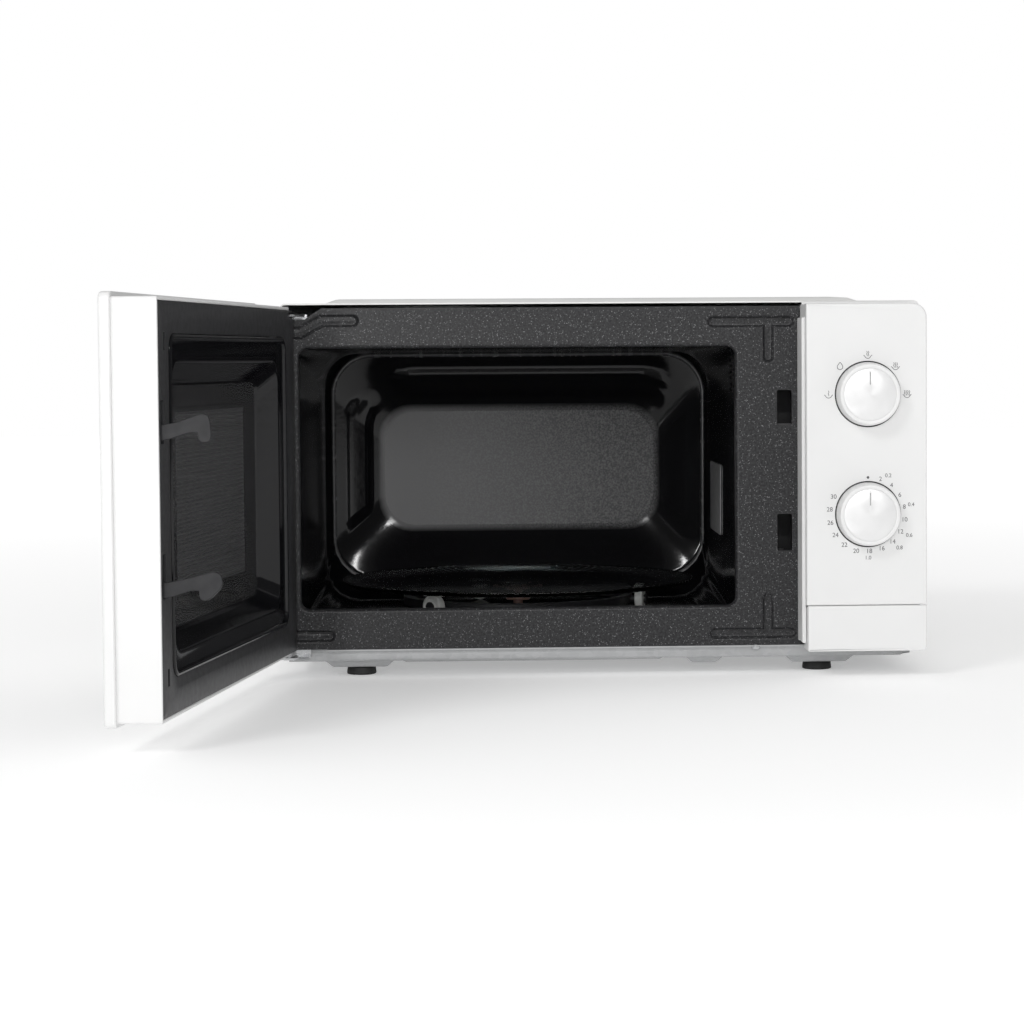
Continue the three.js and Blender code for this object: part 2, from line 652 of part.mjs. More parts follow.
function rollerRing() {
  const z = wheelHeight();
  const { ring, width } = WHEEL;
  let part = uprightAt(tube(ring - 14, ring - 7, z - 3, z + 3), 0, 0, 40);
  for (const angle of WHEEL.angles) {
    const axle = solid(turned(rod(2.4, ring - 9, ring + width / 2 + 1.2), 12).rotateY(Math.PI / 2));
    const cap = solid(turned(rod(4, ring + width / 2 + 0.6, ring + width / 2 + 2), 12).rotateY(Math.PI / 2));
    part = join(part, join(axle, cap).translate([0, 0, z]).rotate([0, 0, angle]));
  }
  return part.translate([SPIN.x, SPIN.y, 0]);
}

function rollerWheel(angle) {
  const { r, ring, width } = WHEEL;
  const profile = [
    [2.8, ring - width / 2], [r - 0.6, ring - width / 2], [r, ring - width / 2 + 0.8],
    [r, ring + width / 2 - 0.8], [r - 0.6, ring + width / 2], [2.8, ring + width / 2], [2.8, ring - width / 2],
  ];
  const wheel = solid(turned(profile, 20).rotateY(Math.PI / 2));
  return wheel.translate([0, 0, wheelHeight()]).rotate([0, 0, angle]).translate([SPIN.x, SPIN.y, 0]);
}

// ---- Door, drawn shut ---------------------------------------------------------------------------
function doorFrame() {
  const { x0, x1, z0, z1, inner, back, front } = DOOR;
  const skirt = box([x0, x1], [back, inner], [z0, z1]);
  const bezel = alongY(roundedOutline({ ...BEZEL, r: 4 }), [front, back + 0.5]);
  const hollow = box([x0 + 1.5, x1 - 2], [-30.8, 2], [z0 + 2.2, z1 - 2.2]);
  const frame = cut(join(skirt, bezel), hollow, alongY(roundedOutline({ ...WINDOW, r: 6 }), [front - 1, -29]));
  return cut(frame, hingeCorner(), tabSpace(), uprightAt(rod(PIN_R + GAP, 10, 21), HINGE.x, HINGE.y, 16));
}

// What the door's hinge edge loses so that it can turn past the front plate.
function hingeCorner() {
  const { x0, z0, z1 } = DOOR;
  return cut(
    box([x0 - 2, HINGE.x], [HINGE.y, 2], [z0 - 1, z1 + 1]),
    uprightAt(rod(HINGE.x - x0, z0 - 2, z1 + 2), HINGE.x, HINGE.y, 32),
  );
}

// Room in the door for the upper hinge's tab.
function tabSpace() {
  return uprightAt(rod(14, 248.2, 251.4), HINGE.x, HINGE.y, 24);
}

function doorWindow() {
  const pane = alongY(roundedOutline({ ...grown(WINDOW, -GAP, 0), r: 6 }), [DOOR.front + 0.5, -30]);
  return join(pane, box([WINDOW.x0 - 8, WINDOW.x1 + 8], [-30.5, -29], [WINDOW.z0 - 8, WINDOW.z1 + 8]));
}

function chokeCover() {
  const { x0, x1, z0, z1, inner } = DOOR;
  const face = box([HINGE.x + 0.2, x1 - 2.3], [inner - 2, inner], [z0 + 2.5, z1 - 2.5]);
  const rim = cut(
    box([HINGE.x + 4.6, x1 - 2.3], [inner - 10, inner - 1], [z0 + 2.5, z1 - 2.5]),
    box([HINGE.x + 6.6, x1 - 4.3], [inner - 12, inner], [z0 + 4.5, z1 - 4.5]),
  );
  const sockets = [[z0 + 2.5, 28], [238.5, 247.8]].map((z) => cut(
    box([x0 + 1.8, HINGE.x + 5], [HINGE.y - 4, inner], z), hingeCorner(),
  ));
  const springLug = box([113, 123], [-17, inner - 1], [SPRING_TOP + GAP, SPRING_TOP + 3]);
  let cover = cut(join(face, rim, springLug), alongY(roundedOutline(RECESS), [-20, 2]));
  cover = cut(join(cover, ...sockets), uprightAt(rod(PIN_R + GAP, 10, 250), HINGE.x, HINGE.y, 16), tabSpace());
  for (const { z0: low, z1: high } of SLOTS) {
    cover = cut(cover, box([HOOK_X[0] - 1.4, HOOK_X[1] + 1.4], [-6, 2], [low + 1.6, high + 1]));
  }
  for (const low of [225.5, 37]) cover = cut(cover, box([117.5, 120], [-4, 2], [low, low + 10]));
  return cover;
}

function doorScreen() {
  const [edge, floor] = WELL_Y;
  const rim = { ...grown(RECESS, -0.4, 0) };
  const at = (section, y) => ({ ...section, y });
  const tray = loft([at(rim, -1.5), at(rim, edge - 1)].reverse());
  const well = loft([at(grown(WELL_FLOOR, 1, 0), floor - 1), at(grown(WELL, 1.5, 0), edge)]);
  const flange = box([-212, 112], [floor - 1, floor], [24, 249]);
  const hollow = [
    loft([at(grown(rim, -1.5, 0), edge), at(grown(rim, -1, 0), -1)]),
    loft([at(WELL_FLOOR, floor), at(WELL, edge), at(WELL, edge + 0.5)]),
  ];
  return cut(join(tray, well, flange), ...hollow);
}

function innerFilm() {
  const floor = WELL_Y[1];
  return alongY(roundedOutline(grown(WELL_FLOOR, -2, 0)), [floor + GAP, floor + GAP + 0.4]);
}

// Two hooks on one sliding bar.
function latchHooks() {
  const [x0, x1] = HOOK_X;
  const bar = box([x0 - 0.5, x1 + 0.5], [-16, -9], [82, 186]);
  const peg = box([113, x1], [-16, -10], [HOOKS[0].z + 10, HOOKS[0].z + 14]);
  const arms = HOOKS.map(({ z, reach }) => {
    const lower = reach > 30;
    const nose = lower ? 13 : 7;
    return alongX(outline([
      [-10, z], [0, z], [reach - nose - 1, z + 6], [reach - nose, z - 0.5], [reach - nose + 5, z - 1],
      [reach, z + (lower ? 7 : 2)], [reach - 1, z + 13.5], [reach - 5, z + 15.5], [8, z + 10.5],
      [-1, z + 9], [-10, z + 9],
    ]), [x0, x1]);
  });
  return join(bar, peg, ...arms);
}

// ---- Build: cabinet -----------------------------------------------------------------------------
add('base_plate', basePlate(), 'galvanised');
add('outer_cover', outerCover(), 'white');
add('rear_panel', rearPanel(), 'white');
add('front_plate', frontPlate(), 'speckled');
add('cavity_liner', cavityLiner(), 'blackEnamel');
add('cavity_back', cavityBack(), 'blackEnamel');
add('mica_cover', box([93.4, 93.7], [126, 210], [88, 140]), 'mica');
add('control_panel', controlPanel(), 'white');
add('hinge_upper', hingeUpper(), 'steel');
add('hinge_lower', hingeLower(), 'steel');
add('foot_front_left', foot(FEET.x[0], FEET.y[0]), 'rubber');
add('foot_front_right', foot(FEET.x[1], FEET.y[0]), 'rubber');
add('foot_rear_left', foot(FEET.x[0], FEET.y[1]), 'rubber');
add('foot_rear_right', foot(FEET.x[1], FEET.y[1]), 'rubber');
screwPlaces().forEach(([x, z], i) => {
  add(`rear_screw_${i + 1}`, screw(x, DEPTH, z, 'back'), 'steel');
});

add('front_screw', frontScrew(), 'steel');

// ---- Build: right-hand compartment --------------------------------------------------------------
add('magnetron', magnetron(), 'steel');
add('waveguide', waveguide(), 'galvanised');
add('inverter_board', inverterBoard(), 'board');
add('inverter_heat_sink', heatSink(), 'aluminium');
add('inverter_transformer', transformer(), 'copper');
add('fan_housing', fanHousing(), 'darkPlastic');
add('fan_motor', fanMotor(), 'steel');
add('fan_blade', fanBlade(), 'whitePlastic');
add('air_duct', airDuct(), 'darkPlastic');
add('filter_board', filterBoard(), 'board');
add('thermal_cutout', thermalCutout(), 'whitePlastic');
add('lamp_holder', lampHolder(), 'galvanised');
add('oven_lamp', ovenLamp(), 'glass');
add('cord_gland', cordGland(), 'rubber');
add('power_selector', dialUnit(KNOB.z[0], 24), 'whitePlastic');
add('power_shaft', dialShaft(KNOB.z[0]), 'steel');
add('power_knob', knob(KNOB.z[0]), 'white');
add('timer_unit', dialUnit(KNOB.z[1], 37), 'galvanised');
add('timer_shaft', dialShaft(KNOB.z[1]), 'steel');
add('timer_knob', knob(KNOB.z[1]), 'white');
add('latch_board', latchBoard(), 'darkPlastic');
[176, 150, 110].forEach((z, i) => add(`microswitch_${i + 1}`, microswitch(z), 'darkPlastic'));
add('release_button', releaseButton(), 'white');
add('release_lever', releaseLever(), 'greyPlastic');
add('lever_bracket', leverBracket(), 'galvanised');

// ---- Build: turntable ---------------------------------------------------------------------------
add('turntable_motor', turntableMotor(), 'steel');
add('turntable_coupler', turntableCoupler(), 'hubPlastic');
add('glass_tray', glassTray(), 'glass');
add('roller_ring', rollerRing(), 'darkPlastic');
WHEEL.angles.forEach((angle, i) => add(`roller_wheel_${i + 1}`, rollerWheel(angle), 'whitePlastic'));

// ---- Build: door --------------------------------------------------------------------------------
addToDoor('door_frame', doorFrame(), 'white');
addToDoor('door_window', doorWindow(), 'darkGlass');
addToDoor('choke_cover', chokeCover(), 'speckled');
addToDoor('door_screen', doorScreen(), 'blackEnamel');
addToDoor('inner_film', innerFilm(), 'darkGlass');
addToDoor('latch_hooks', latchHooks(), 'darkPlastic');
addToDoor('latch_spring', coil(3, 0.5, [HOOKS[0].z + 14.3, SPRING_TOP], 5, 118, -13), 'steel');

// The origin is the middle of the bounding box's base.
oven.updateMatrixWorld(true);
const bounds = new THREE.Box3().setFromObject(oven, true);
oven.position.set(-(bounds.min.x + bounds.max.x) / 2, -(bounds.min.y + bounds.max.y) / 2, -bounds.min.z);

export default oven;
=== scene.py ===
import json
import math
from collections import namedtuple

import bmesh
import bpy
from mathutils import Matrix, Vector
from mathutils.geometry import tessellate_polygon

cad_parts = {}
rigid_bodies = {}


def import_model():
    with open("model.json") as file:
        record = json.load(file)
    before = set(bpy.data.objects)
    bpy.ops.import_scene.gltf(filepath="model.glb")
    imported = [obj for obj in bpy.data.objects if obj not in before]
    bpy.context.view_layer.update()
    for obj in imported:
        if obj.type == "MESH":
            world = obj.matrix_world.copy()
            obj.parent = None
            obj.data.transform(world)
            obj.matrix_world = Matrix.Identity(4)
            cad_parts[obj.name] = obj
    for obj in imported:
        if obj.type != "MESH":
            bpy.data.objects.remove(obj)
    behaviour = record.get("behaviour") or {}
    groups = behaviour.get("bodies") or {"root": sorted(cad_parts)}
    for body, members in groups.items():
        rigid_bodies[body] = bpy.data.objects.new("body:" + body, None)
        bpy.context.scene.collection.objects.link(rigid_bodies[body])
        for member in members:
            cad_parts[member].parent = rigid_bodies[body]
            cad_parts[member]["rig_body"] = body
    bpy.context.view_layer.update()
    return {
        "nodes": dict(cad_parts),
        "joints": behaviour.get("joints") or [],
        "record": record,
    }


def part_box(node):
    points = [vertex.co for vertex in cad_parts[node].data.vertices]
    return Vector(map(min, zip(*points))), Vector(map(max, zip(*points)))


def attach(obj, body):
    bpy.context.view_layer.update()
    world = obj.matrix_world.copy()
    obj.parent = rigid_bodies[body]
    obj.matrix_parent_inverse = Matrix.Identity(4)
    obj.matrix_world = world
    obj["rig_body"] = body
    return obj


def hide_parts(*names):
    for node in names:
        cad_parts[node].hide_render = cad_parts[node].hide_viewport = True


# A countertop microwave oven with its door open. Lengths are millimetres in the cabinet's frame:
# X = 0 is the middle of the cabinet, Y = 0 the front plate's face, Z = 0 the floor. The door is
# drawn shut and swung open about its hinge.
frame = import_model()
NODES = frame["nodes"]
MM = 0.001

plate_low, plate_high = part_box("front_plate")
ORIGIN = Vector(((plate_low.x + plate_high.x) / 2, plate_low.y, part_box("foot_front_left")[0].z))
TO_ROW = Matrix.Translation(ORIGIN) @ Matrix.Scale(MM, 4)
door_joint = next(j for j in frame["joints"] if j["name"] == "door_hinge")
OPEN = math.radians(door_joint["range_deg"][1])
HINGE = (Vector(door_joint["pos_m"]) - ORIGIN) / MM
SWING = Matrix.Translation(HINGE) @ Matrix.Rotation(-OPEN, 4, "Z") @ Matrix.Translation(-HINGE)
DOOR_BODIES = ("door", "hooks")

Section = namedtuple("Section", "x0 x1 z0 z1 r")
Box = namedtuple("Box", "x0 x1 y0 y1 z0 z1")

# Sections are rounded rectangles seen from the front. The cavity is given by depth and section.
OPENING = Section(-207.7, 92.5, 47.7, 227.2, 6)
LATCH_SLOTS = ((85.1, 110.9), (171.7, 196.7))
LATCH_X = (121.3, 131.5)
CAVITY = ((1.5, Section(-208.5, 94, 32.2, 228, 8)), (250, Section(-204, 94, 32.2, 225, 27)),
          (284, Section(-199, 93, 47, 222.5, 32)))
DISH_Y = 300
DISH = Section(-161, 56, 86, 179, 25)

# The door's window, and the recess, well and screen on its inner side.
WINDOW = Section(-187, 102, 53, 222, 6)
RECESS = Section(-193.5, 106, 39.9, 235, 10)
WELL = Section(-176, 98, 54, 218, 16)
WELL_FLOOR = Section(-163, 88, 62, 207, 14)
WELL_Y = (-3, -16)
PERFORATED = Section(-132, 41, 82, 189, 1.5)

KNOB_WELL_R = 22.6
FEET = ("foot_front_left", "foot_front_right", "foot_rear_left", "foot_rear_right")
REAR_SCREWS = ("rear_screw_1", "rear_screw_2", "rear_screw_3", "rear_screw_4")
SHEET = 1.0
ROLLER_ANGLES = (228, 348, 108)


# ---- Camera ----
def linked(name, data):
    """A new object in the scene."""
    obj = bpy.data.objects.new(name, data)
    bpy.context.scene.collection.objects.link(obj)
    return obj


def make_camera():
    place = Vector((-84.13, -1836.51, 219.70))
    yaw, pitch, roll = -0.0462, 0.0500, 0.0065
    ahead = Vector((-math.sin(yaw), math.cos(yaw), 0))
    right = Vector((math.cos(yaw), math.sin(yaw), 0))
    forward = ahead * math.cos(pitch) - Vector((0, 0, math.sin(pitch)))
    up = ahead * math.sin(pitch) + Vector((0, 0, math.cos(pitch)))
    across = right * math.cos(roll) - up * math.sin(roll)
    above = right * math.sin(roll) + up * math.cos(roll)
    data = bpy.data.cameras.new("camera")
    data.sensor_width, data.lens = 36, 93.8
    data.shift_x, data.shift_y = -0.0891, -0.0203
    data.clip_start, data.clip_end = 0.05, 50
    camera = linked("camera", data)
    turn = Matrix((across, above, -forward)).transposed().to_4x4()
    camera.matrix_world = Matrix.Translation(TO_ROW @ place) @ turn
    bpy.context.scene.camera = camera


make_camera()


def node_box(name, door=False):
    """A CAD node's extent in cabinet millimetres, with the door shut for a door node."""
    back = (TO_ROW @ SWING if door else TO_ROW).inverted()
    points = [back @ v.co for v in NODES[name].data.vertices]
    return Box(*(pick(p[i] for p in points) for i in range(3) for pick in (min, max)))


def axis_of(node, axis):
    """The middle of a cabinet node, put at height 0 along an axis."""
    b = node_box(node)
    middle = ((b.x0 + b.x1) / 2, (b.y0 + b.y1) / 2, (b.z0 + b.z1) / 2)
    return tuple(0 if name == axis else m for name, m in zip("xyz", middle))


# ---- Outlines ----
def arc(cx, cy, r, start, end, steps=8):
    angles = [math.radians(start + (end - start) * k / steps) for k in range(steps + 1)]
    return [(cx + r * math.cos(a), cy + r * math.sin(a)) for a in angles]


def turns(degrees, steps):
    """Sine and cosine at even steps round a bend."""
    angles = [math.radians(degrees) * k / steps for k in range(steps + 1)]
    return [(math.sin(a), math.cos(a)) for a in angles]


def grown(s, by):
    return Section(s.x0 - by, s.x1 + by, s.z0 - by, s.z1 + by, max(s.r + by, 0.2))


def rounded(s, steps=8):
    """Points round a section, anticlockwise from its lower right corner."""
    corners = ((s.x1 - s.r, s.z0 + s.r, -90), (s.x1 - s.r, s.z1 - s.r, 0),
               (s.x0 + s.r, s.z1 - s.r, 90), (s.x0 + s.r, s.z0 + s.r, 180))
    return [p for cx, cz, start in corners for p in arc(cx, cz, s.r, start, start + 90, steps)]


def rectangle(u, v, r=0.0, steps=4):
    if r:
        return rounded(Section(u[0], u[1], v[0], v[1], r), steps)
    return [(u[0], v[0]), (u[1], v[0]), (u[1], v[1]), (u[0], v[1])]


def shrunk(loop, by):
    """An anticlockwise loop moved inward."""
    moved = []
    for i, point in enumerate(loop):
        before, here, after = Vector(loop[i - 1]), Vector(point), Vector(loop[(i + 1) % len(loop)])
        one, two = (here - before).normalized(), (after - here).normalized()
        inward = (Vector((-one.y, one.x)) + Vector((-two.y, two.x))).normalized()
        moved.append(tuple(here + inward * by / max(0.4, inward.dot(Vector((-one.y, one.x))))))
    return moved


def softened(points, cut=0.22):
    """A loop with its corners trimmed, for the outline of a moulded piece."""
    edges = zip(points, points[1:] + points[:1])
    return [tuple(Vector(a).lerp(Vector(b), t)) for a, b in edges for t in (cut, 1 - cut)]


def spaced(start, end, coarse, fine=None, *zones):
    """Values from start to end, close together inside the zones."""
    values = [start]
    while values[-1] < end - 1e-6:
        here = values[-1]
        step = fine if any(a - 1e-6 <= here < b for a, b in zones) else coarse
        stops = [stop for stop in (end, *(a for a, _ in zones)) if stop > here + 1e-6]
        values.append(min([here + step, *stops]))
    return values


def eased(t):
    t = min(1.0, max(0.0, t))
    return t * t * (3 - 2 * t)


# ---- Solids ----
PUT = {
    "x": lambda u, v, h: Vector((h, u, v)),
    "y": lambda u, v, h: Vector((u, h, v)),
    "z": lambda u, v, h: Vector((u, v, h)),
}


def add_quads(bm, one, two, around):
    """Faces between two rows of vertices; a row of one vertex makes a fan."""
    count = max(len(one), len(two))
    for i in range(count if around else count - 1):
        j = (i + 1) % count
        corners = [one[i % len(one)], one[j % len(one)], two[j % len(two)], two[i % len(two)]]
        face = [v for k, v in enumerate(corners) if v is not corners[k - 1]]
        if len(face) > 2:
            bm.faces.new(face)


def skin(rings, loop=False):
    """A closed body through rings of points: capped at both ends, or looped back to its first ring."""
    bm = bmesh.new()
    rows = [[bm.verts.new(p) for p in points] for points in rings]
    for one, two in zip(rows, rows[1:]):
        add_quads(bm, one, two, True)
    if loop:
        add_quads(bm, rows[-1], rows[0], True)
    else:
        bm.faces.new(rows[0])
        bm.faces.new(rows[-1])
    return bm


def ring(section, y, steps=8, side=1):
    points, spots = rounded(section, steps), []
    for i, (x, z) in enumerate(points):
        spots.append(Vector((x, y, z)))
        if i % (steps + 1) == steps:
            following = points[(i + 1) % len(points)]
            spots += [spots[-1].lerp(Vector((following[0], y, following[1])), k / side)
                      for k in range(1, side)]
    return spots


def rings(*stations, steps=8):
    return skin([ring(section, y, steps) for section, y in stations], loop=True)


def slab(outer, span, axis, holes=()):
    """A flat plate with holes, standing between two heights along an axis."""
    loops = [[Vector((u, v, 0)) for u, v in loop] for loop in (outer, *holes)]
    flat = [p for loop in loops for p in loop]
    bm = bmesh.new()
    low, high = ([bm.verts.new(PUT[axis](p.x, p.y, h)) for p in flat] for h in span)
    for a, b, c in tessellate_polygon(loops):
        bm.faces.new((low[a], low[b], low[c]))
        bm.faces.new((high[c], high[b], high[a]))
    start = 0
    for loop in loops:
        spots = range(start, start + len(loop))
        add_quads(bm, [low[i] for i in spots], [high[i] for i in spots], True)
        start += len(loop)
    bmesh.ops.recalc_face_normals(bm, faces=bm.faces)
    bmesh.ops.dissolve_limit(bm, angle_limit=0.001, verts=bm.verts, edges=bm.edges)
    return bm


def block(x, y, z, r=0.0):
    return slab(rectangle(x, z, r), y, "y")


def cushioned(loop, span, fillet, axis="y", steps=4):
    """A slab whose edge at the first height is rounded."""
    low, high = span
    way = math.copysign(1, high - low)
    stations = [(fillet * (1 - sin), low + way * fillet * (1 - cos)) for sin, cos in turns(90, steps)]
    stations.append((0, high))
    return skin([[PUT[axis](u, v, h) for u, v in shrunk(loop, inset)] for inset, h in stations])


def lathe(profile, centre, axis="z", steps=48, wave=None):
    """A turned body from (radius, height) points that run from axis to axis or close on themselves."""
    bm = bmesh.new()
    middle, rows = Vector(centre), []
    for r, h in profile:
        if r < 1e-6:
            rows.append([bm.verts.new(middle + PUT[axis](0, 0, h))])
            continue
        angles = [2 * math.pi * k / steps for k in range(steps)]
        lift = [wave(r, a) if wave else 0 for a in angles]
        rows.append([bm.verts.new(middle + PUT[axis](r * math.cos(a), r * math.sin(a), h + up))
                     for a, up in zip(angles, lift)])
    for one, two in zip(rows, rows[1:]):
        add_quads(bm, one, two, True)
    if profile[0][0] > 1e-6:
        add_quads(bm, rows[-1], rows[0], True)
    return bm


def rod(r, h0, h1, centre, axis="z", steps=24, edge=0.0):
    profile = [(0, h0), (r - edge, h0), (r, h0 + edge), (r, h1 - edge), (r - edge, h1), (0, h1)]
    return lathe(profile if edge else [profile[k] for k in (0, 2, 3, 5)], centre, axis, steps)


def turned(bm, angle, centre=(0, 0, 0), axis="Z"):
    turn = Matrix.Translation(centre) @ Matrix.Rotation(math.radians(angle), 4, axis)
    bmesh.ops.transform(bm, matrix=turn, verts=bm.verts)
    return bm


def as_mesh(bm, name="part"):
    mesh = bpy.data.meshes.new(name)
    bmesh.ops.recalc_face_normals(bm, faces=bm.faces)
    bm.to_mesh(mesh)
    bm.free()
    return mesh


def merged(*parts):
    """The parts as one body. Parts that cross stay as they are."""
    whole = bmesh.new()
    for part in parts:
        mesh = as_mesh(part)
        whole.from_mesh(mesh)
        bpy.data.meshes.remove(mesh)
    return whole


def carved(body, *tools, how="DIFFERENCE"):
    """The body less the tools, or joined to them."""
    objects = [linked("tool", as_mesh(bm)) for bm in (body, *tools)]
    for tool in objects[1:]:
        modifier = objects[0].modifiers.new("cut", "BOOLEAN")
        modifier.operation, modifier.solver, modifier.object = how, "EXACT", tool
    whole = objects[0].evaluated_get(bpy.context.evaluated_depsgraph_get())
    mesh = bpy.data.meshes.new_from_object(whole)
    result = bmesh.new()
    result.from_mesh(mesh)
    for spare in [mesh, *(o.data for o in objects)]:
        bpy.data.meshes.remove(spare)
    return result


def joined(body, *others):
    return carved(body, *others, how="UNION")


def sheet(path, across, thick, put, push=None):
    """Sheet metal bent along a path of (point, normal). push(point, across) presses its face outward."""
    bm = bmesh.new()
    face, back = ([[bm.verts.new(put(p + n * (lift - (push(p, t) if push else 0)), t)) for t in across]
                   for p, n in path] for lift in (0, thick))
    for rows in (face, back):
        for one, two in zip(rows, rows[1:]):
            add_quads(bm, one, two, False)
    for k in (0, -1):
        add_quads(bm, face[k], back[k], False)
        add_quads(bm, [row[k] for row in face], [row[k] for row in back], False)
    return bm


def folded(corners, radii, lengths):
    """A path with rounded bends. The sheet lies on the left; lengths gives the spots on each straight."""
    path = []
    points = [Vector(c) for c in corners]
    for i, (start, end) in enumerate(zip(points, points[1:])):
        way = (end - start).normalized()
        normal = Vector((-way.y, way.x))
        near = radii[i - 1] if i else 0
        far = radii[i] if i < len(radii) else 0
        total = (end - start).length
        path += [(start + way * s, normal) for s in lengths[i] if near < s < total - far]
        path += [(end - way * far, normal)] if far else [(end, normal)]
        if far:
            after = (points[i + 2] - end).normalized()
            turn = math.copysign(math.pi / 2, way.x * after.y - way.y * after.x)
            centre = end - way * far + normal * math.copysign(far, turn)
            for k in range(1, 5):
                bend = Matrix.Rotation(turn * k / 4, 2)
                path.append((centre + bend @ (end - way * far - centre), bend @ normal))
        if not i:
            path.insert(0, (start, normal))
    return path


def near_path(point, path):
    """Distance from a point to a polyline."""
    best = 1e9
    for a, b in zip(path, path[1:]):
        a, b = Vector(a), Vector(b)
        along = min(1, max(0, (point - a).dot(b - a) / (b - a).length_squared))
        best = min(best, (point - a.lerp(b, along)).length)
    return best


def slots(rows, span, axis="x"):
    """Cutters for louvre slots with round ends, through a wall across the axis."""
    cutters = []
    for across, (low, high) in rows:
        loop = rectangle(across, (low, high), min(1.9, (high - low) / 2 - 0.05))
        cutters.append(slab(loop, span, axis))
    return merged(*cutters)


def piece(name, bm, finish, body, slot, *nodes, edge=0.0, sharp=35, middle=None):
    """A finished piece of the oven that rides on a CAD body and stands for its nodes."""
    place = TO_ROW @ SWING if body in DOOR_BODIES else TO_ROW
    bmesh.ops.transform(bm, matrix=place, verts=bm.verts)
    seat = place @ Vector(middle) if middle else Vector()
    bmesh.ops.translate(bm, vec=-seat, verts=bm.verts)
    for face in bm.faces:
        face.smooth = True
    mesh = as_mesh(bm, name)
    mesh.materials.append(finish)
    obj = linked(name, mesh)
    obj.location = seat
    if edge:
        rounded_edges(obj, edge, sharp)
    else:
        mesh.set_sharp_from_angle(angle=math.radians(sharp))
    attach(obj, body)
    if nodes:
        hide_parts(*nodes)
    return obj


def rounded_edges(obj, width, sharp):
    bevel = obj.modifiers.new("edges", "BEVEL")
    bevel.width, bevel.segments = width * MM, 2
    bevel.limit_method, bevel.angle_limit = "ANGLE", math.radians(sharp)
    obj.modifiers.new("shading", "WEIGHTED_NORMAL").keep_sharp = True


# ---- Finishes ----
class Finish:
    """A procedural material. Its patterns run in the piece's own space, in metres."""

    def __init__(self, name, color, roughness, metal=0.0, **constants):
        self.material = bpy.data.materials.new(name)
        self.material.use_nodes = True
        self.tree = self.material.node_tree
        self.shader = self.tree.nodes["Principled BSDF"]
        self.place = self.tree.nodes.new("ShaderNodeTexCoord").outputs["Object"]
        self.color = (*color, 1)
        self.set("Base Color", self.color)
        self.set("Roughness", roughness)
        self.set("Metallic", metal)
        for key, value in constants.items():
            self.set(key.replace("_", " ").title().replace("Ior", "IOR"), value)
        self.normal = None

    def set(self, name, value):
        socket = self.shader.inputs[name]
        if isinstance(value, bpy.types.NodeSocket):
            self.tree.links.new(value, socket)
        else:
            socket.default_value = value

    def node(self, kind, values=(), out=0, **settings):
        made = self.tree.nodes.new(kind)
        for key, value in settings.items():
            setattr(made, key, value)
        for key, value in values:
            if isinstance(value, bpy.types.NodeSocket):
                self.tree.links.new(value, made.inputs[key])
            else:
                made.inputs[key].default_value = value
        return made.outputs[out]

    def stretched(self, x, y, z):
        return self.node("ShaderNodeMapping", [("Vector", self.place), ("Scale", (x, y, z))])

    def noise(self, scale, detail=3.0, place=None):
        return self.node("ShaderNodeTexNoise", [("Vector", place or self.place), ("Scale", scale),
                                                ("Detail", detail)])

    def cells(self, scale, feature="F1", out=0):
        return self.node("ShaderNodeTexVoronoi", [("Vector", self.place), ("Scale", scale)], out,
                         feature=feature)

    def spread(self, value, low, high, start, end):
        return self.node("ShaderNodeMapRange", [(0, value), (1, low), (2, high), (3, start), (4, end)])

    def blend(self, factor, one, two):
        color = [v if isinstance(v, bpy.types.NodeSocket) else (*v[:3], 1) for v in (one, two)]
        return self.node("ShaderNodeMix", [(0, factor), (6, color[0]), (7, color[1])], 2,
                         data_type="RGBA")

    def mottle(self, other, scale, low=0.35, high=0.65):
        """Blends the base colour toward another in soft patches."""
        patches = self.spread(self.noise(scale), low, high, 0, 1)
        self.set("Base Color", self.blend(patches, self.color, other))

    def wear(self, scale, start, end):
        self.set("Roughness", self.spread(self.noise(scale, 4), 0.3, 0.7, start, end))

    def relief(self, height, depth, strength=1.0):
        """Adds bumps. The depth is in millimetres."""
        values = [("Height", height), ("Distance", depth * MM), ("Strength", strength)]
        if self.normal:
            values.append(("Normal", self.normal))
        self.normal = self.node("ShaderNodeBump", values)
        self.set("Normal", self.normal)


def speckled_enamel():
    """Dark grey textured paint with light flecks."""
    f = Finish("speckled_enamel", (0.045, 0.045, 0.048), 0.45, specular_ior_level=0.22)
    patches = f.spread(f.noise(700, 5), 0.35, 0.68, 0, 1)
    ground = f.blend(patches, (0.014, 0.014, 0.015), (0.040, 0.040, 0.042))
    flecks = f.spread(f.cells(850), 0.0, 0.34, 1, 0)
    chosen = f.spread(f.noise(420, 2), 0.47, 0.56, 0, 1)
    both = f.node("ShaderNodeMath", [(0, flecks), (1, chosen)], operation="MULTIPLY")
    f.set("Base Color", f.blend(both, ground, (0.34, 0.34, 0.35)))
    f.wear(500, 0.28, 0.44)
    f.relief(f.noise(650, 3), 0.10, 0.5)
    return f.material


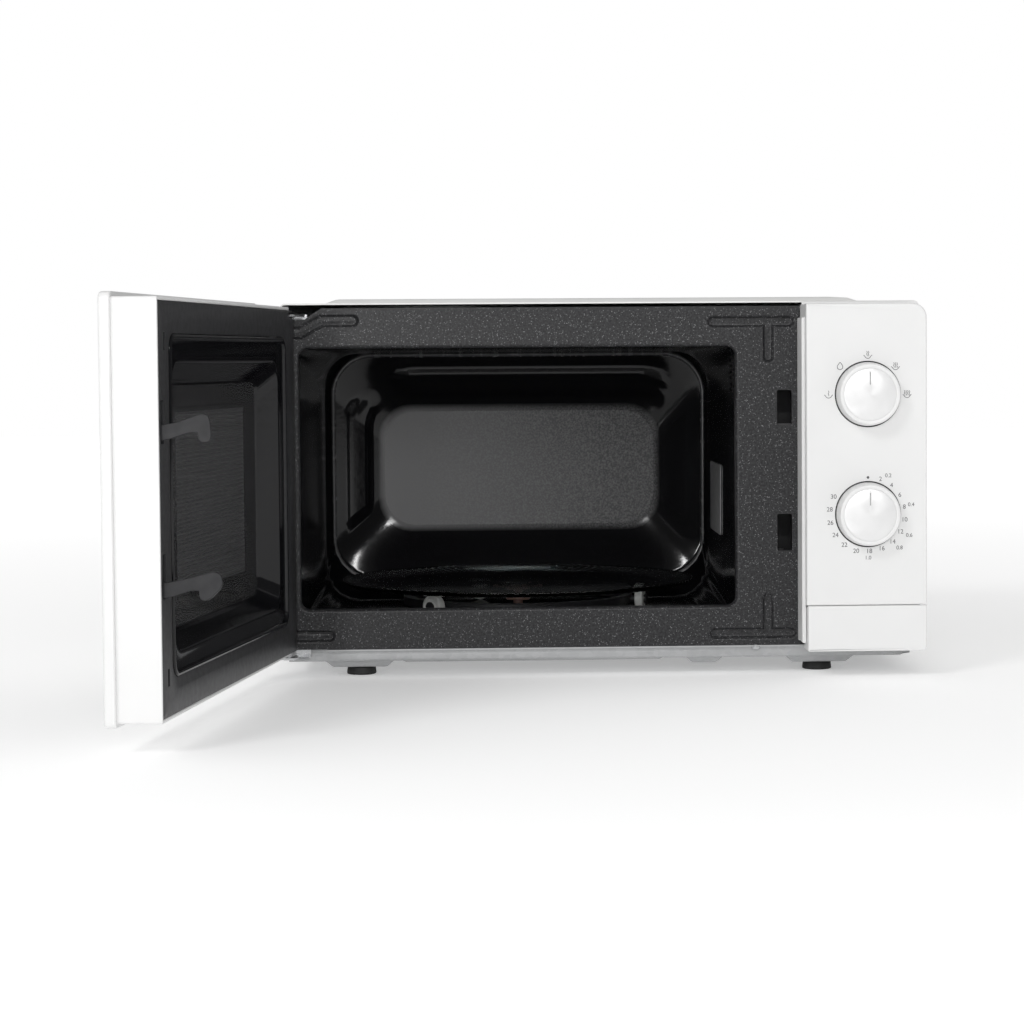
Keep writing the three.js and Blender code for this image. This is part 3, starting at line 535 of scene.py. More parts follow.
def black_enamel():
    """Glossy black enamel with a slight orange peel. The back panel's dish is a flecked dark grey,
    with painted light that makes it lighter toward its left end, where the key light falls."""
    f = Finish("black_enamel", (0.006, 0.006, 0.007), 0.12, specular_ior_level=0.3)
    across = f.node("ShaderNodeSeparateXYZ", [("Vector", f.place)])
    depth = f.node("ShaderNodeSeparateXYZ", [("Vector", f.place)], 1)
    dish = f.spread(depth, *((TO_ROW @ Vector((0, DISH_Y - gap, 0))).y for gap in (2.0, 0.4)), 0, 1)
    # painted light: the dish's grey is made lighter toward its left end, where the key light falls
    left = f.spread(across, *((TO_ROW @ Vector((x, 0, 0))).x for x in (-160, 20)), 1, 0)
    ground = f.blend(left, (0.07, 0.07, 0.072), (0.20, 0.20, 0.203))
    grey = f.blend(f.spread(f.noise(800, 4), 0.4, 0.7, 0, 1), ground, (0.19, 0.19, 0.193))
    f.set("Base Color", f.blend(dish, f.color, grey))
    f.set("Roughness", f.spread(dish, 0, 1, 0.10, 0.2))
    f.relief(f.noise(160, 2), 0.10, 0.35)
    f.relief(f.noise(900, 3), 0.02, 0.25)
    return f.material


def white_plastic(name="white_plastic", color=(0.77, 0.77, 0.767), roughness=(0.30, 0.42)):
    f = Finish(name, color, 0.35, specular_ior_level=0.5)
    f.mottle([c * 0.985 for c in color], 30)
    f.wear(90, *roughness)
    f.relief(f.noise(1500, 2), 0.015, 0.4)
    return f.material


def white_paint():
    f = Finish("white_paint", (0.80, 0.80, 0.79), 0.4)
    f.mottle((0.785, 0.785, 0.775), 25)
    f.wear(60, 0.34, 0.5)
    f.relief(f.noise(900, 3), 0.05, 0.5)
    return f.material


def galvanised():
    f = Finish("galvanised_steel", (0.42, 0.425, 0.43), 0.45, 0.4)
    spangle = f.cells(240, out=1)
    shade = f.node("ShaderNodeSeparateColor", [(0, spangle)])
    f.set("Base Color", f.blend(shade, (0.40, 0.405, 0.41), (0.45, 0.455, 0.46)))
    f.set("Roughness", f.spread(shade, 0, 1, 0.42, 0.54))
    f.relief(f.noise(500, 2), 0.02, 0.3)
    return f.material


def metal(name, color, rough, grain=(1, 1, 40), scale=60):
    """Rolled or drawn metal with a faint grain."""
    f = Finish(name, color, 0.3, 1.0)
    lines = f.noise(scale, 4, f.stretched(*grain))
    f.set("Roughness", f.spread(lines, 0.3, 0.7, *rough))
    f.mottle([c * 0.85 for c in color], 110)
    f.relief(lines, 0.02, 0.3)
    return f.material


def spun_metal():
    """A dial's face disc, turned on a lathe: fine rings about the piece's own middle."""
    f = Finish("spun_metal", (0.79, 0.79, 0.79), 0.34, 0.12, anisotropic=0.8)
    f.set("Tangent", f.node("ShaderNodeTangent", direction_type="RADIAL", axis="Y"))
    reach = f.node("ShaderNodeVectorMath", [(0, f.stretched(1, 0, 1))], 1, operation="LENGTH")
    phase = f.node("ShaderNodeMath", [(0, reach), (1, 9000.0)], operation="MULTIPLY")
    wave = f.node("ShaderNodeMath", [(0, phase)], operation="SINE")
    f.set("Roughness", f.spread(wave, -1, 1, 0.30, 0.38))
    f.mottle((0.77, 0.77, 0.77), 120)
    f.relief(wave, 0.006, 0.25)
    return f.material


def plastic(name, color, rough=(0.4, 0.55), grain=0.05, shine=0.5):
    f = Finish(name, color, rough[0], specular_ior_level=shine)
    f.mottle([c * 0.86 for c in color], 180)
    f.wear(220, *rough)
    f.relief(f.noise(1200, 3), grain, 0.5)
    return f.material


def clear_glass():
    f = Finish("clear_glass", (0.72, 0.76, 0.75), 0.03, transmission_weight=1.0, ior=1.5)
    f.wear(40, 0.015, 0.05)
    f.relief(f.noise(120, 2), 0.02, 0.2)
    return f.material


def clear_film():
    """A thin clear sheet: nearly all of what is behind it shows."""
    f = Finish("clear_film", (0.5, 0.5, 0.5), 0.15, alpha=0.03, specular_ior_level=0.2)
    f.wear(30, 0.1, 0.2)
    return f.material


def dark_glass():
    f = Finish("dark_glass", (0.012, 0.013, 0.014), 0.05, coat_weight=0.3, coat_roughness=0.03)
    f.wear(35, 0.03, 0.08)
    f.relief(f.noise(25, 1), 0.02, 0.15)
    return f.material


def circuit_board():
    f = Finish("circuit_board", (0.03, 0.11, 0.05), 0.5)
    tracks = f.spread(f.cells(260, "DISTANCE_TO_EDGE"), 0.02, 0.08, 1, 0)
    f.set("Base Color", f.blend(tracks, (0.02, 0.09, 0.04), (0.07, 0.2, 0.09)))
    f.relief(tracks, 0.05, 0.5)
    return f.material


def copper():
    f = Finish("copper_winding", (0.62, 0.26, 0.11), 0.3, 1.0)
    wires = f.node("ShaderNodeTexWave", [("Vector", f.place), ("Scale", 400.0), ("Distortion", 0.4)],
                   bands_direction="Z")
    f.relief(wires, 0.3, 0.6)
    f.mottle((0.45, 0.17, 0.07), 200)
    return f.material


FINISH = {
    "white_paint": white_paint(),
    "white_plastic": white_plastic(),
    "speckled_enamel": speckled_enamel(),
    "black_enamel": black_enamel(),
    "galvanised_steel": galvanised(),
    "bright_steel": metal("bright_steel", (0.62, 0.63, 0.64), (0.22, 0.36)),
    "aluminium": metal("aluminium", (0.70, 0.71, 0.72), (0.28, 0.42)),
    "copper_winding": copper(),
    "circuit_board": circuit_board(),
    "clear_glass": clear_glass(),
    "dark_glass": dark_glass(),
}
PLAIN = (
    ("choke_plastic", (0.030, 0.030, 0.032), (0.40, 0.48), 0.01),
    ("black_rubber", (0.012, 0.012, 0.012), (0.6, 0.8), 0.15),
    ("dark_plastic", (0.022, 0.022, 0.024), (0.4, 0.55), 0.05),
    ("pale_plastic", (0.80, 0.80, 0.78), (0.35, 0.5), 0.04),
    ("grey_plastic", (0.15, 0.15, 0.155), (0.36, 0.5), 0.04),
    ("hub_plastic", (0.38, 0.23, 0.20), (0.4, 0.55), 0.05),
    ("mica", (0.34, 0.34, 0.345), (0.45, 0.65), 0.12),
)
FINISH.update({name: plastic(name, *look) for name, *look in PLAIN})
SLOT_OF = {part["node"]: part["material_slot"] for part in frame["record"]["subparts"]}
perforated_steel = plastic("perforated_steel", (0.035, 0.035, 0.037), (0.38, 0.46), 0.02)
# painted sheen: the seam bead is black enamel coloured a lighter grey, for the light band it shows round the
# back wall
seam_painted_sheen = plastic("seam_painted_sheen", (0.10, 0.10, 0.103), (0.2, 0.3), 0.02)
hook_plastic = plastic("hook_plastic", (0.03, 0.03, 0.032), (0.4, 0.5), 0.02, 0.12)
pointer_grey = plastic("pointer_grey", (0.40, 0.40, 0.40), (0.4, 0.5), 0.01)
spun_metal_face = spun_metal()
ink = plastic("printed_ink", (0.09, 0.09, 0.095), (0.45, 0.55), 0.01)


def stands_for(name, bm, node, **options):
    """A piece that takes its body and its material slot from the one CAD node it replaces."""
    slot = SLOT_OF[node]
    finish = options.pop("finish", FINISH[slot])
    return piece(name, bm, finish, NODES[node]["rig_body"], slot, node, **options)


# ---- Cabinet: front plate ----
# Pressed grooves: centre line in X and Z, half width, height of the ridge along the middle.
GROOVES = (
    (((76.8, 244), (130, 244)), 3.8, 0), (((115.4, 243), (115.4, 219.4)), 3.8, 0),
    (((77.7, 28.3), (130.8, 28.3)), 3.8, 0), (((114.8, 29), (114.8, 52.8)), 3.8, 0),
    (((-219, 29.5), (-188.6, 29.5)), 4.2, 0.5),
    (((-219, 237.6), (-206.5, 238), (-192, 246), (-170.5, 246)), 4.4, 0.5),
)


def groove_depth(x, z):
    depth = 0.0
    for path, half, ridge in GROOVES:
        away = near_path(Vector((x, z)), path)
        if away < half:
            pressed = 2.6 * eased((half - away) / 1.6)
            depth = max(depth, pressed - ridge * eased(1 - away / 1.1))
    return depth


def front_plate():
    b = node_box("front_plate")
    xs = spaced(b.x0, b.x1, 9, 0.8, (b.x0, -160), (70, 137))
    zs = spaced(b.z0, b.z1, 9, 0.8, (b.z0, 60), (212, b.z1))
    plate = sheet([(Vector((x, 0)), Vector((0, 1))) for x in xs], zs, SHEET,
                  lambda p, z: Vector((p.x, p.y, z)), lambda p, z: -groove_depth(p.x, z))
    corner = [(b.x0 - 3, 246.4), (b.x0 - 3, 260), (-191.5, 260), (-191.5, b.z1 + 0.2), (-203, 247.2)]
    through = (-3, 6)
    cutters = [slab(rounded(grown(OPENING, 2.2)), through, "y"), slab(corner, through, "y"),
               block((143, 214), through, (52, 244))]
    for low, high in LATCH_SLOTS:
        cutters.append(block(LATCH_X, through, (low, high), 1.2))
    plate = carved(plate, merged(*cutters))
    lip = [(grown(OPENING, 2.4 - 2.4 * sin), 2.42 - 2.4 * cos) for sin, cos in turns(90, 6)]
    lip = rings((grown(OPENING, 2.9), 0.02), *lip, (OPENING, 7.2), (grown(OPENING, 0.9), 7.2),
                (grown(OPENING, 0.9), 3), (grown(OPENING, 2.9), 1.0))
    deep = (0.9, 9)
    flanges = [block((-190, b.x1), deep, (b.z1 - 1, b.z1)),
               block((-190, b.x1), (0.9, 7), (b.z0, b.z0 + 1)),
               block((b.x0, b.x0 + 1), deep, (b.z0, 246)),
               block((b.x1 - 1, b.x1), deep, (b.z0, b.z1))]
    stands_for("front_plate_pressing", merged(plate, lip, *flanges), "front_plate", sharp=50)


# ---- Cabinet: oven cavity ----
def between(one, two, t):
    return Section(*(a + (b - a) * t for a, b in zip(one, two)))


def cavity_section(y):
    for (y0, one), (y1, two) in zip(CAVITY, CAVITY[1:]):
        if y <= y1:
            return between(one, two, (y - y0) / (y1 - y0))
    return CAVITY[-1][1]


def cavity_walls():
    """Lofted walls with fluted lower corners, a rounded ridge at the back, and their perforations."""
    steps = 20
    first, last = CAVITY[0][0], CAVITY[-1][0]

    def fluted(y, by=0.0):
        section = grown(cavity_section(y), by)
        depth = 0.55 * eased((y - 40) / 160) if y < last - 1 else 0
        points = ring(section, y, steps, 1)
        for i, spot in enumerate(points):
            k = i % (steps + 1)
            lower = i < steps + 1 or i >= 3 * (steps + 1)
            if lower and 0 < k < steps:
                turn = math.radians((-90 if i < steps + 1 else 180) + 90 * k / steps)
                push = depth * math.sin(math.pi * k * 5 / steps) ** 2
                points[i] = spot - Vector((math.cos(turn), 0, math.sin(turn))) * push
        return points

    ridge = 279.6
    spots = [first, 8, *range(20, 250, 15), 250, 262, 274, ridge]
    inner = [fluted(y) for y in spots]
    inner += [fluted(ridge + 2.2 * (1 - cos), -1.3 * sin) for sin, cos in turns(180, 8)[1:-1]]
    outer = [ring(grown(cavity_section(y), 1), y, steps) for y in (last, 250, 120, first)]
    walls = skin([*inner, fluted(last), *outer], loop=True)
    right = CAVITY[0][1].x1
    through = (right - 4, right + 4)
    ladder = [((16, 58), (196 + row * 4, 198 + row * 4)) for row in range(6)]
    holes = [slots(ladder, through), block(through, (130, 206), (92, 136))]
    for column in range(10):
        for row in range(22):
            spot = (right, 14 + 8 * column + 4 * (row % 2), 84 + 5 * row)
            holes.append(rod(1.3, -4, 4, spot, "x", 8))
    floor = CAVITY[0][1].z0
    axle = rod(6, floor - 4, floor + 4, axis_of("glass_tray", "z"), "z", 32)
    return carved(walls, merged(*holes), axle)


def cavity_rear():
    """The back pressing: a sloping surround with rounded ribs, and the flat dish in the middle."""
    front = node_box("cavity_back").y0
    steps, side, spans = 6, 30, 26
    rib_x, rib_z, half_wide, half_high, rib_rise = -45, 132.5, 94, 43, 2.2
    rim = CAVITY[-1][1]
    slope = []
    for k in range(spans + 1):
        t = k / spans
        y = front + (DISH_Y - 0.5 - front) * (0.85 * t + 0.15 * eased(t))
        points = ring(between(rim, DISH, t), y, steps, side)
        for i, spot in enumerate(points):
            turn = i // (steps + side)
            if turn in (1, 2):  # above and on the left
                along = abs(spot.x - rib_x) - half_wide if turn == 1 else abs(spot.z - rib_z) - half_high
                away = math.hypot(max(0, along) / 12, (t - 0.5) / 0.27)
                points[i] = spot - Vector((0, rib_rise * eased((1 - away) / 0.4), 0))
        slope.append(points)
    bend = 3.2
    flat = [ring(grown(DISH, bend * sin - 2.2), DISH_Y + 0.4 - bend * (1 - cos), steps, side)
            for sin, cos in turns(30, 5)]
    back = [(grown(rim, 5), front), (grown(rim, 5), front + 1), (grown(rim, 1), front + 1),
            (grown(DISH, 1), DISH_Y + 1.4)]
    shell = [ring(section, y, steps, side) for section, y in back]
    return skin([*flat[::-1], *slope[::-1], *shell])


def cavity():
    stands_for("cavity_walls", cavity_walls(), "cavity_liner", sharp=40)
    stands_for("cavity_rear_wall", cavity_rear(), "cavity_back", sharp=50)
    section = cavity_section(281)
    bead = [(grown(section, 0.4 - 2.1 * cos), 281.2 + 2.4 * sin) for sin, cos in turns(360, 12)[:-1]]
    piece("cavity_seam", rings(*bead, steps=16), seam_painted_sheen, "cabinet", "black_enamel")
    b = node_box("mica_cover")
    cover = slab(rectangle((b.y0, b.y1), (b.z0, b.z1), 3), (b.x0 - 0.3, b.x1), "x")
    stands_for("waveguide_cover", cover, "mica_cover", edge=0.12)


# ---- Cabinet: covers and base ----
def outer_cover():
    b = node_box("outer_cover")
    top, bend = b.z1 - 4, 3.2
    sides = spaced(0, top - b.z0, 30)
    crest = spaced(0, b.x1 - b.x0, 12, 1.6, (20, 42), (392, 412))
    corners = [(b.x1, b.z0), (b.x1, top), (b.x0, top), (b.x0, b.z0)]
    path = folded(corners, [bend, bend], [sides, crest, sides])
    rest, slope = Section(-196, 188, 45, 275, 12), 14

    def lift(p, y):
        if p.y < top - 0.1:
            return 0
        over = max(rest.x0 - p.x, p.x - rest.x1, rest.z0 - y, y - rest.z1)
        return (b.z1 - top) * eased(-over / slope)

    lines = spaced(b.y0, b.y1, 14, 1.6, (43, 60), (260, 277))
    wrap = sheet(path, lines, SHEET, lambda p, y: Vector((p.x, y, p.y)), lift)
    right = [((225, 285), (60 + i * 12, 64 + i * 12)) for i in range(9)]
    left = [((235, 285), row) for _, row in right[:6]]
    louvres = merged(slots(right, (b.x1 - 4, b.x1 + 4)), slots(left, (b.x0 - 4, b.x0 + 4)))
    wrap = carved(wrap, louvres)
    back, tall = (b.y1 - 1, b.y1), (b.z0, top - 1.5)
    flanges = [block((b.x0 + 0.5, b.x0 + 11), back, tall), block((b.x1 - 11, b.x1 - 0.5), back, tall),
               block((b.x0 + 1, b.x1 - 1), back, (top - 11, top - 0.5))]
    holes = merged(*(rod(2.2, b.y1 - 4, b.y1 + 2, axis_of(screw, "y"), "y") for screw in REAR_SCREWS))
    flange = carved(joined(*flanges), holes)
    stands_for("cover_wrap", merged(wrap, flange), "outer_cover", edge=0.3)


def rear_panel():
    b = node_box("rear_panel")
    fan = [((112, 204), (88 + row * 10, 93 + row * 10)) for row in range(9)]
    upper = [((-150, -90), (180 + row * 8, 184 + row * 8)) for row in range(6)]
    through = (b.y0 - 3, b.y1 + 3)
    holes = [slots(fan + upper, through, "y"), rod(7.3, *through, axis_of("cord_gland", "y"), "y", 32)]
    holes += [rod(2.2, *through, axis_of(screw, "y"), "y") for screw in REAR_SCREWS]
    panel = carved(slab(rectangle((b.x0, b.x1), (b.z0, b.z1), 3), (b.y0, b.y1), "y"), merged(*holes))
    stands_for("back_panel", panel, "rear_panel", edge=0.25)


def base_plate():
    """Folded and pressed galvanised sheet: lip, front wall, floor with bosses, rear wall."""
    b = node_box("base_plate")
    under, wall, lip, end = 11, 7, 18.8, 22
    bosses = [(x, y, under - 6) for x in ((-193, -143.5), (127, 177)) for y in ((10, 52), (264, 308))]
    bosses += [((57.5, 85.3), (10, 60), 4.5), ((-139.5, 43), (10, 250), 1.5)]

    def press(p, x):
        if p.y > under + 0.1:
            return 0
        depth = 0
        for (x0, x1), (y0, y1), deep in bosses:
            inside = min(x - x0, x1 - x, p.x - y0, y1 - p.x)
            depth = max(depth, deep * eased(inside / (deep * 1.1 + 1.5)))
        return depth

    steep = ((2, 12), (38, 56), (236, 246), (254, 268), (294, 304))
    lengths = [[0, 3], [0, 3], spaced(0, b.y1 - wall, 9, 1.4, *steep), [0, 6]]
    corners = [(b.y0, lip), (wall, lip), (wall, under), (b.y1, under), (b.y1, b.z1)]
    path = folded(corners, [0.7, 1.6, 1.6], lengths)
    zones = [zone for (x0, x1), _, _ in bosses for zone in ((x0 - 1, x0 + 9), (x1 - 9, x1 + 1))]
    xs = spaced(b.x0, b.x1, 10, 1.3, *zones)
    plate = sheet(path, xs, SHEET, lambda p, x: Vector((x, p.x, p.y)), press)
    vents = merged(*(block((100 + i * 14, 106 + i * 14), (170, 230), (7, 14)) for i in range(7)))
    feet = merged(*(rod(3.3, 3, 14, axis_of(foot, "z")) for foot in FEET))
    round_end = 202, wall + 8.5
    beyond = [(round_end[0], b.y0 - 2), (b.x1 + 2, b.y0 - 2), (b.x1 + 2, end), (b.x1, end)]
    beyond += arc(*round_end, 8.5, 0, -90, 6)
    ends = merged(block((b.x0 - 2, -190), (b.y0 - 2, 6.8), (14, 24)),
                  slab(beyond, (b.z0 - 2, b.z1 + 2), "z"))
    screw = rod(2.2, 16, 24, axis_of("front_screw", "z"))
    plate = carved(plate, vents, feet, ends, screw)
    standing = under + 0.4
    walls = [block((x, x + 1), (y, b.y1), (standing, b.z1)) for x, y in ((b.x0, wall), (b.x1 - 1, end))]
    bend = [*arc(*round_end, 8.5, -90, 0, 8), (b.x1, end), (b.x1 - 1, end + 0.6),
            *arc(*round_end, 7.5, 0, -90, 8)]
    walls.append(slab(bend, (standing, lip), "z"))
    stands_for("base_pressing", merged(plate, *walls), "base_plate", sharp=50)


# ---- Cabinet: controls ----
def control_panel():
    b = node_box("control_panel")
    left, low, high, front = b.x0 + 2, 50.1, b.z1 - 1.6, b.y0
    face = [(left, low), (b.x1, low), *arc(b.x1 - 10, high - 10, 10, 0, 90, 10),
            *arc(left + 1, high - 1, 1, 90, 180, 3)]
    shell = cushioned(face, (front, b.y1), 1.4, steps=5)
    hollow = block((left + 2.5, b.x1 - 2.5), (front + 2.5, 2), (low + 2.5, high - 2.5), 7.5)
    rebate = block((b.x0, left + 0.6), (-25, b.y1), (23.7, 246.3), 1)
    lip = [(left + 1, high - 4), (b.x1 - 14, high - 4), (b.x1 - 6, high - 14), (b.x1 - 0.8, high - 14),
           *arc(b.x1 - 4.2, high - 1.8, 3.4, 0, 90, 6), (left + 1, high + 1.6)]
    housing = carved(block((142, 216.5), (-25, b.y1), (24.5, 51.8)),
                     block((144, 214.5), (-23, 2), (26.5, 48.8)))
    foot = block((b.x0, 144), (-7, b.y1), (23.7, 51.8))
    body = joined(carved(shell, hollow), rebate, slab(lip, (-1.8, b.y1), "y"), foot, housing)
    holes = [block((146, 152), (-27, -22), (26.5, 38)), block((145, 153), (-14, 2), (45, 56))]
    for node in ("power_knob", "timer_knob"):
        centre = axis_of(node, "y")
        holes.append(rod(KNOB_WELL_R, front - 2, front + 1, centre, "y", 96))
        holes.append(rod(5.5, front + 0.5, front + 6, centre, "y"))
    stands_for("control_panel_moulding", carved(body, *holes), "control_panel", edge=0.22, sharp=50)


def knob(name, node, body):
    b = node_box(node)
    r, front, back = (b.x1 - b.x0) / 2, b.y0, b.y1
    centre = axis_of(node, "y")
    face = r - 3.9
    lip = [(r - 2.2 + 1.2 * sin, front + 1.2 - 1.2 * cos) for sin, cos in turns(90, 5)]
    profile = [(0, front + 0.5), (face, front + 0.5), (face, front + 0.15), (face + 0.2, front), *lip,
               (r - 0.5, front + 4), (r - 0.05, back - 3.4), (r, back - 2.2), (r - 0.3, back - 1.85),
               (20, back - 1.8), (20, back - 4.4), (5, back - 4.4), (5, back), (3.3, back),
               (3.3, front + 4.6), (0, front + 4.6)]
    stands_for(name, lathe(profile, centre, "y", 96), node, sharp=40)
    panel = node_box("control_panel").y0
    # painted shade: a dark ring at the bottom of the knob's well, where the gap round the knob lies in
    # shadow
    painted_shade_ring = rectangle((20.4, KNOB_WELL_R - 0.05), (panel + 0.6, panel + 0.98))
    piece(name + "_gasket", lathe(painted_shade_ring, centre, "y", 96), FINISH["dark_plastic"], "cabinet",
          "dark_plastic", sharp=50)
    disc = lathe([(0, front + 0.1), (face - 0.5, front + 0.1), (face - 0.1, front + 0.3),
                  (face - 0.1, front + 0.55), (0, front + 0.55)], centre, "y", 96)
    line = rectangle((centre[0] - 0.4, centre[0] + 0.4), (centre[2] + 6.5, centre[2] + 15), 0.3)
    disc = carved(disc, slab(line, (front - 2, front + 0.4), "y"))
    slot, middle = SLOT_OF[node], (centre[0], front, centre[2])
    piece(name + "_face", disc, spun_metal_face, body, slot, sharp=50, middle=middle)
    piece(name + "_pointer", slab(line, (front + 0.3, front + 0.5), "y"), pointer_grey, body, slot)


def release_button():
    b = node_box("release_button")
    face = [*arc(b.x0 + 0.8, b.z0 + 0.8, 0.8, 180, 270, 3), *arc(b.x1 - 3, b.z0 + 3, 3, -90, 0, 6),
            (b.x1, b.z1), (b.x0, b.z1)]
    shell = cushioned(face, (b.y0, -12), 1.3, steps=5)
    hollow = block((b.x0 + 2, b.x1 - 2), (b.y0 + 2.5, 0), (b.z0 + 2, b.z1 + 2))
    slope = [(-11, 44.7), (-11, b.z1 + 1), (b.y0 + 1.6, b.z1 + 1), (b.y0 + 1.6, b.z1 - 0.1)]
    slope = slab(slope, (b.x0 - 2, b.x1 + 2), "x")
    finger = block((147.5, 150.5), (b.y0 + 2, b.y1), (28, 32))
    line = block((147.5, 159), (b.y0 - 0.1, b.y0 + 1), (34.8, 35.2))
    piece("button_line", line, FINISH["white_plastic"], "button", "white_plastic")
    cap = merged(carved(shell, hollow, slope), finger)
    stands_for("release_button_cap", cap, "release_button", edge=0.15, sharp=50)


def stroke(points, width):
    """A flat line with a width, as a loop."""
    left, right = [], []
    for i, point in enumerate(points):
        way = (Vector(points[min(i + 1, len(points) - 1)]) - Vector(points[max(i - 1, 0)])).normalized()
        aside = Vector((-way.y, way.x)) * width / 2
        left.append(tuple(Vector(point) + aside))
        right.append(tuple(Vector(point) - aside))
    return right + left[::-1]


def numeral(text, x, z, size):
    """Printed figures as thin solids centred on a point."""
    curve = bpy.data.curves.new("numeral", "FONT")
    curve.body, curve.size, curve.extrude = text, size, 0.05
    curve.align_x, curve.align_y = "CENTER", "CENTER"
    obj = bpy.data.objects.new("numeral", curve)
    mesh = bpy.data.meshes.new_from_object(obj)
    bm = bmesh.new()
    bm.from_mesh(mesh)
    bmesh.ops.remove_doubles(bm, verts=bm.verts, dist=0.001)
    turn = Matrix.Translation((x, 0, z)) @ Matrix.Rotation(math.pi / 2, 4, "X")
    bmesh.ops.transform(bm, matrix=turn, verts=bm.verts)
    bpy.data.objects.remove(obj)
    bpy.data.curves.remove(curve)
    bpy.data.meshes.remove(mesh)
    return bm


def dial_marks():
    """Generic figures round the timer dial and simple signs round the power dial, on the panel's face."""
    marks, face = [], node_box("control_panel").y0
    span = (-0.05, 0.05)

    def around(knob_node, angle, r):
        x, _, z = axis_of(knob_node, "y")
        a = math.radians(90 - angle)
        return x + r * math.cos(a), z + r * math.sin(a)

    def line(points, width):
        marks.append(slab(stroke(points, width), span, "y"))

    for minute in range(2, 31, 2):
        r = 25.3 if minute < 20 else 26.4
        marks.append(numeral(str(minute), *around("timer_knob", minute * 9.9, r), 4.3))
    weights = ((28, 29.6), (78, 30.2), (117.5, 31.8), (137, 31.6), (180, 29.8))
    for fifths, (angle, r) in enumerate(weights, 1):
        marks.append(numeral(f"{fifths / 5:.1f}", *around("timer_knob", angle, r), 3.7))
    x, z = around("timer_knob", 0, 25)
    marks.append(slab(arc(x, z, 0.9, 0, 342, 19), span, "y"))
    for angle, waves in ((-90, 1), (0, 2), (45, 3), (90, 4)):
        x, z = around("power_knob", angle, 26.8)
        line([(x - 2.9, z - 0.4), *arc(x, z - 0.4, 2.2, 200, 340), (x + 2.9, z - 0.4)], 0.4)
        for k in range(waves):
            across = x + (k - (waves - 1) / 2) * 1.1
            rise = [0.36 * step for step in range(11)]
            line([(across + 0.25 * math.sin(3 * t), z - 1.2 + t) for t in rise], 0.35)
    x, z = around("power_knob", -45, 26.8)
    line([(x + 0.3, z + 2.6), *arc(x, z - 0.4, 1.9, 35, -215, 14), (x + 0.1, z + 2.8)], 0.4)
    whole = merged(*marks)
    bmesh.ops.translate(whole, vec=(0, face - 0.01, 0), verts=whole.verts)
    piece("dial_marks", whole, ink, "cabinet", "dark_plastic")


# ---- Cabinet: feet, screws, cord gland ----
def feet():
    for node in FEET:
        b = node_box(node)
        r = (b.x1 - b.x0) / 2
        profile = [(0, 0.6), (r - 3.4, 0.6), (r - 2.9, 0), (r - 1.2, 0), (r - 0.3, 0.3), (r, 1.2),
                   (r - 0.5, 4.9), (r - 1.2, 5.6), (3, 5.7), (3, b.z1), (0, b.z1)]
        foot = lathe(profile, axis_of(node, "z"), "z", 48)
        stands_for(node.replace("foot", "rubber_foot"), foot, node, sharp=40)


def screws():
    """Cross-head screws: four at the back, and one that stands head down under the front plate."""
    bolt = [(0, 2.4), (1.4, 2.3), (2.4, 1.9), (3.0, 1.2), (3.2, 0.6), (3.2, 0.3), (1.9, 0.3),
            (1.9, -7.4), (1.2, -8), (0, -8)]
    for node, axis, way in [(screw, "y", 1) for screw in REAR_SCREWS] + [("front_screw", "z", -1)]:
        b = node_box(node)
        x, y, z = axis_of(node, axis)
        seat = b.y1 - 2.4 if axis == "y" else b.z0 + 2.4
        shank = 0.62 if axis == "z" else 1  # clear of the front plate's groove
        profile = [(r, seat + way * (h if h > 0 else h * shank)) for r, h in bolt]
        body = lathe(profile, (x, y, z), axis, 32)
        u, v = (x, z) if axis == "y" else (x, y)
        span = sorted((seat + way * 1.2, seat + way * 4))
        arms = [slab(rectangle((u - p, u + p), (v - q, v + q)), span, axis)
                for p, q in ((0.35, 1.7), (1.7, 0.35))]
        stands_for(node.replace("screw", "cross_screw"), carved(body, *arms), node, sharp=40)


def cord_gland():
    tip = node_box("cord_gland").y1
    profile = [(4, tip - 18), (8.6, tip - 18), (9, tip - 17.6), (9, tip - 8.6), (7, tip - 8.6), (7, tip - 7),
               (9, tip - 7), (9, tip - 5.6), (8.4, tip - 5), (8.4, tip - 4), (7.9, tip - 3.7),
               (7.9, tip - 2.8), (7.6, tip - 2.5), (7.4, tip - 0.5), (6.9, tip), (4.4, tip), (4, tip - 0.4)]
    stands_for("strain_relief", lathe(profile, axis_of("cord_gland", "y"), "y", 48), "cord_gland", sharp=40)


# ---- Turntable ----
def glass_tray():
    b = node_box("glass_tray")
    spin = axis_of("glass_tray", "z")
    reach, under = (b.x1 - b.x0) / 2, b.z1 - 6.4

    def ribbed(r, a):
        return 0.22 * math.sin(a * 120) * eased((r - (reach - 8)) / 4)

    rim = [(-4, 2.6), (-1, 3.6), (0, 4.8), (-0.1, 5.7), (-1, 6.1), (-2.5, 6.1), (-6, 5.4)]
    profile = [(0, 0), (98, 0), (102, 0.1), (108, 0.6), *((reach + r, h) for r, h in rim),
               (109, 4), (104, 3.4), (100, 3.2), (0, 3.2)]
    plate = lathe([(r, under + h) for r, h in profile], spin, "z", 480, ribbed)
    lugs = [turned(block((8.5, 15.5), (-2.6, 2.6), (b.z0, under + 0.4), 0.8), 90 + 120 * i, spin)
            for i in range(3)]
    stands_for("turntable_glass", merged(plate, *lugs), "glass_tray", sharp=50)


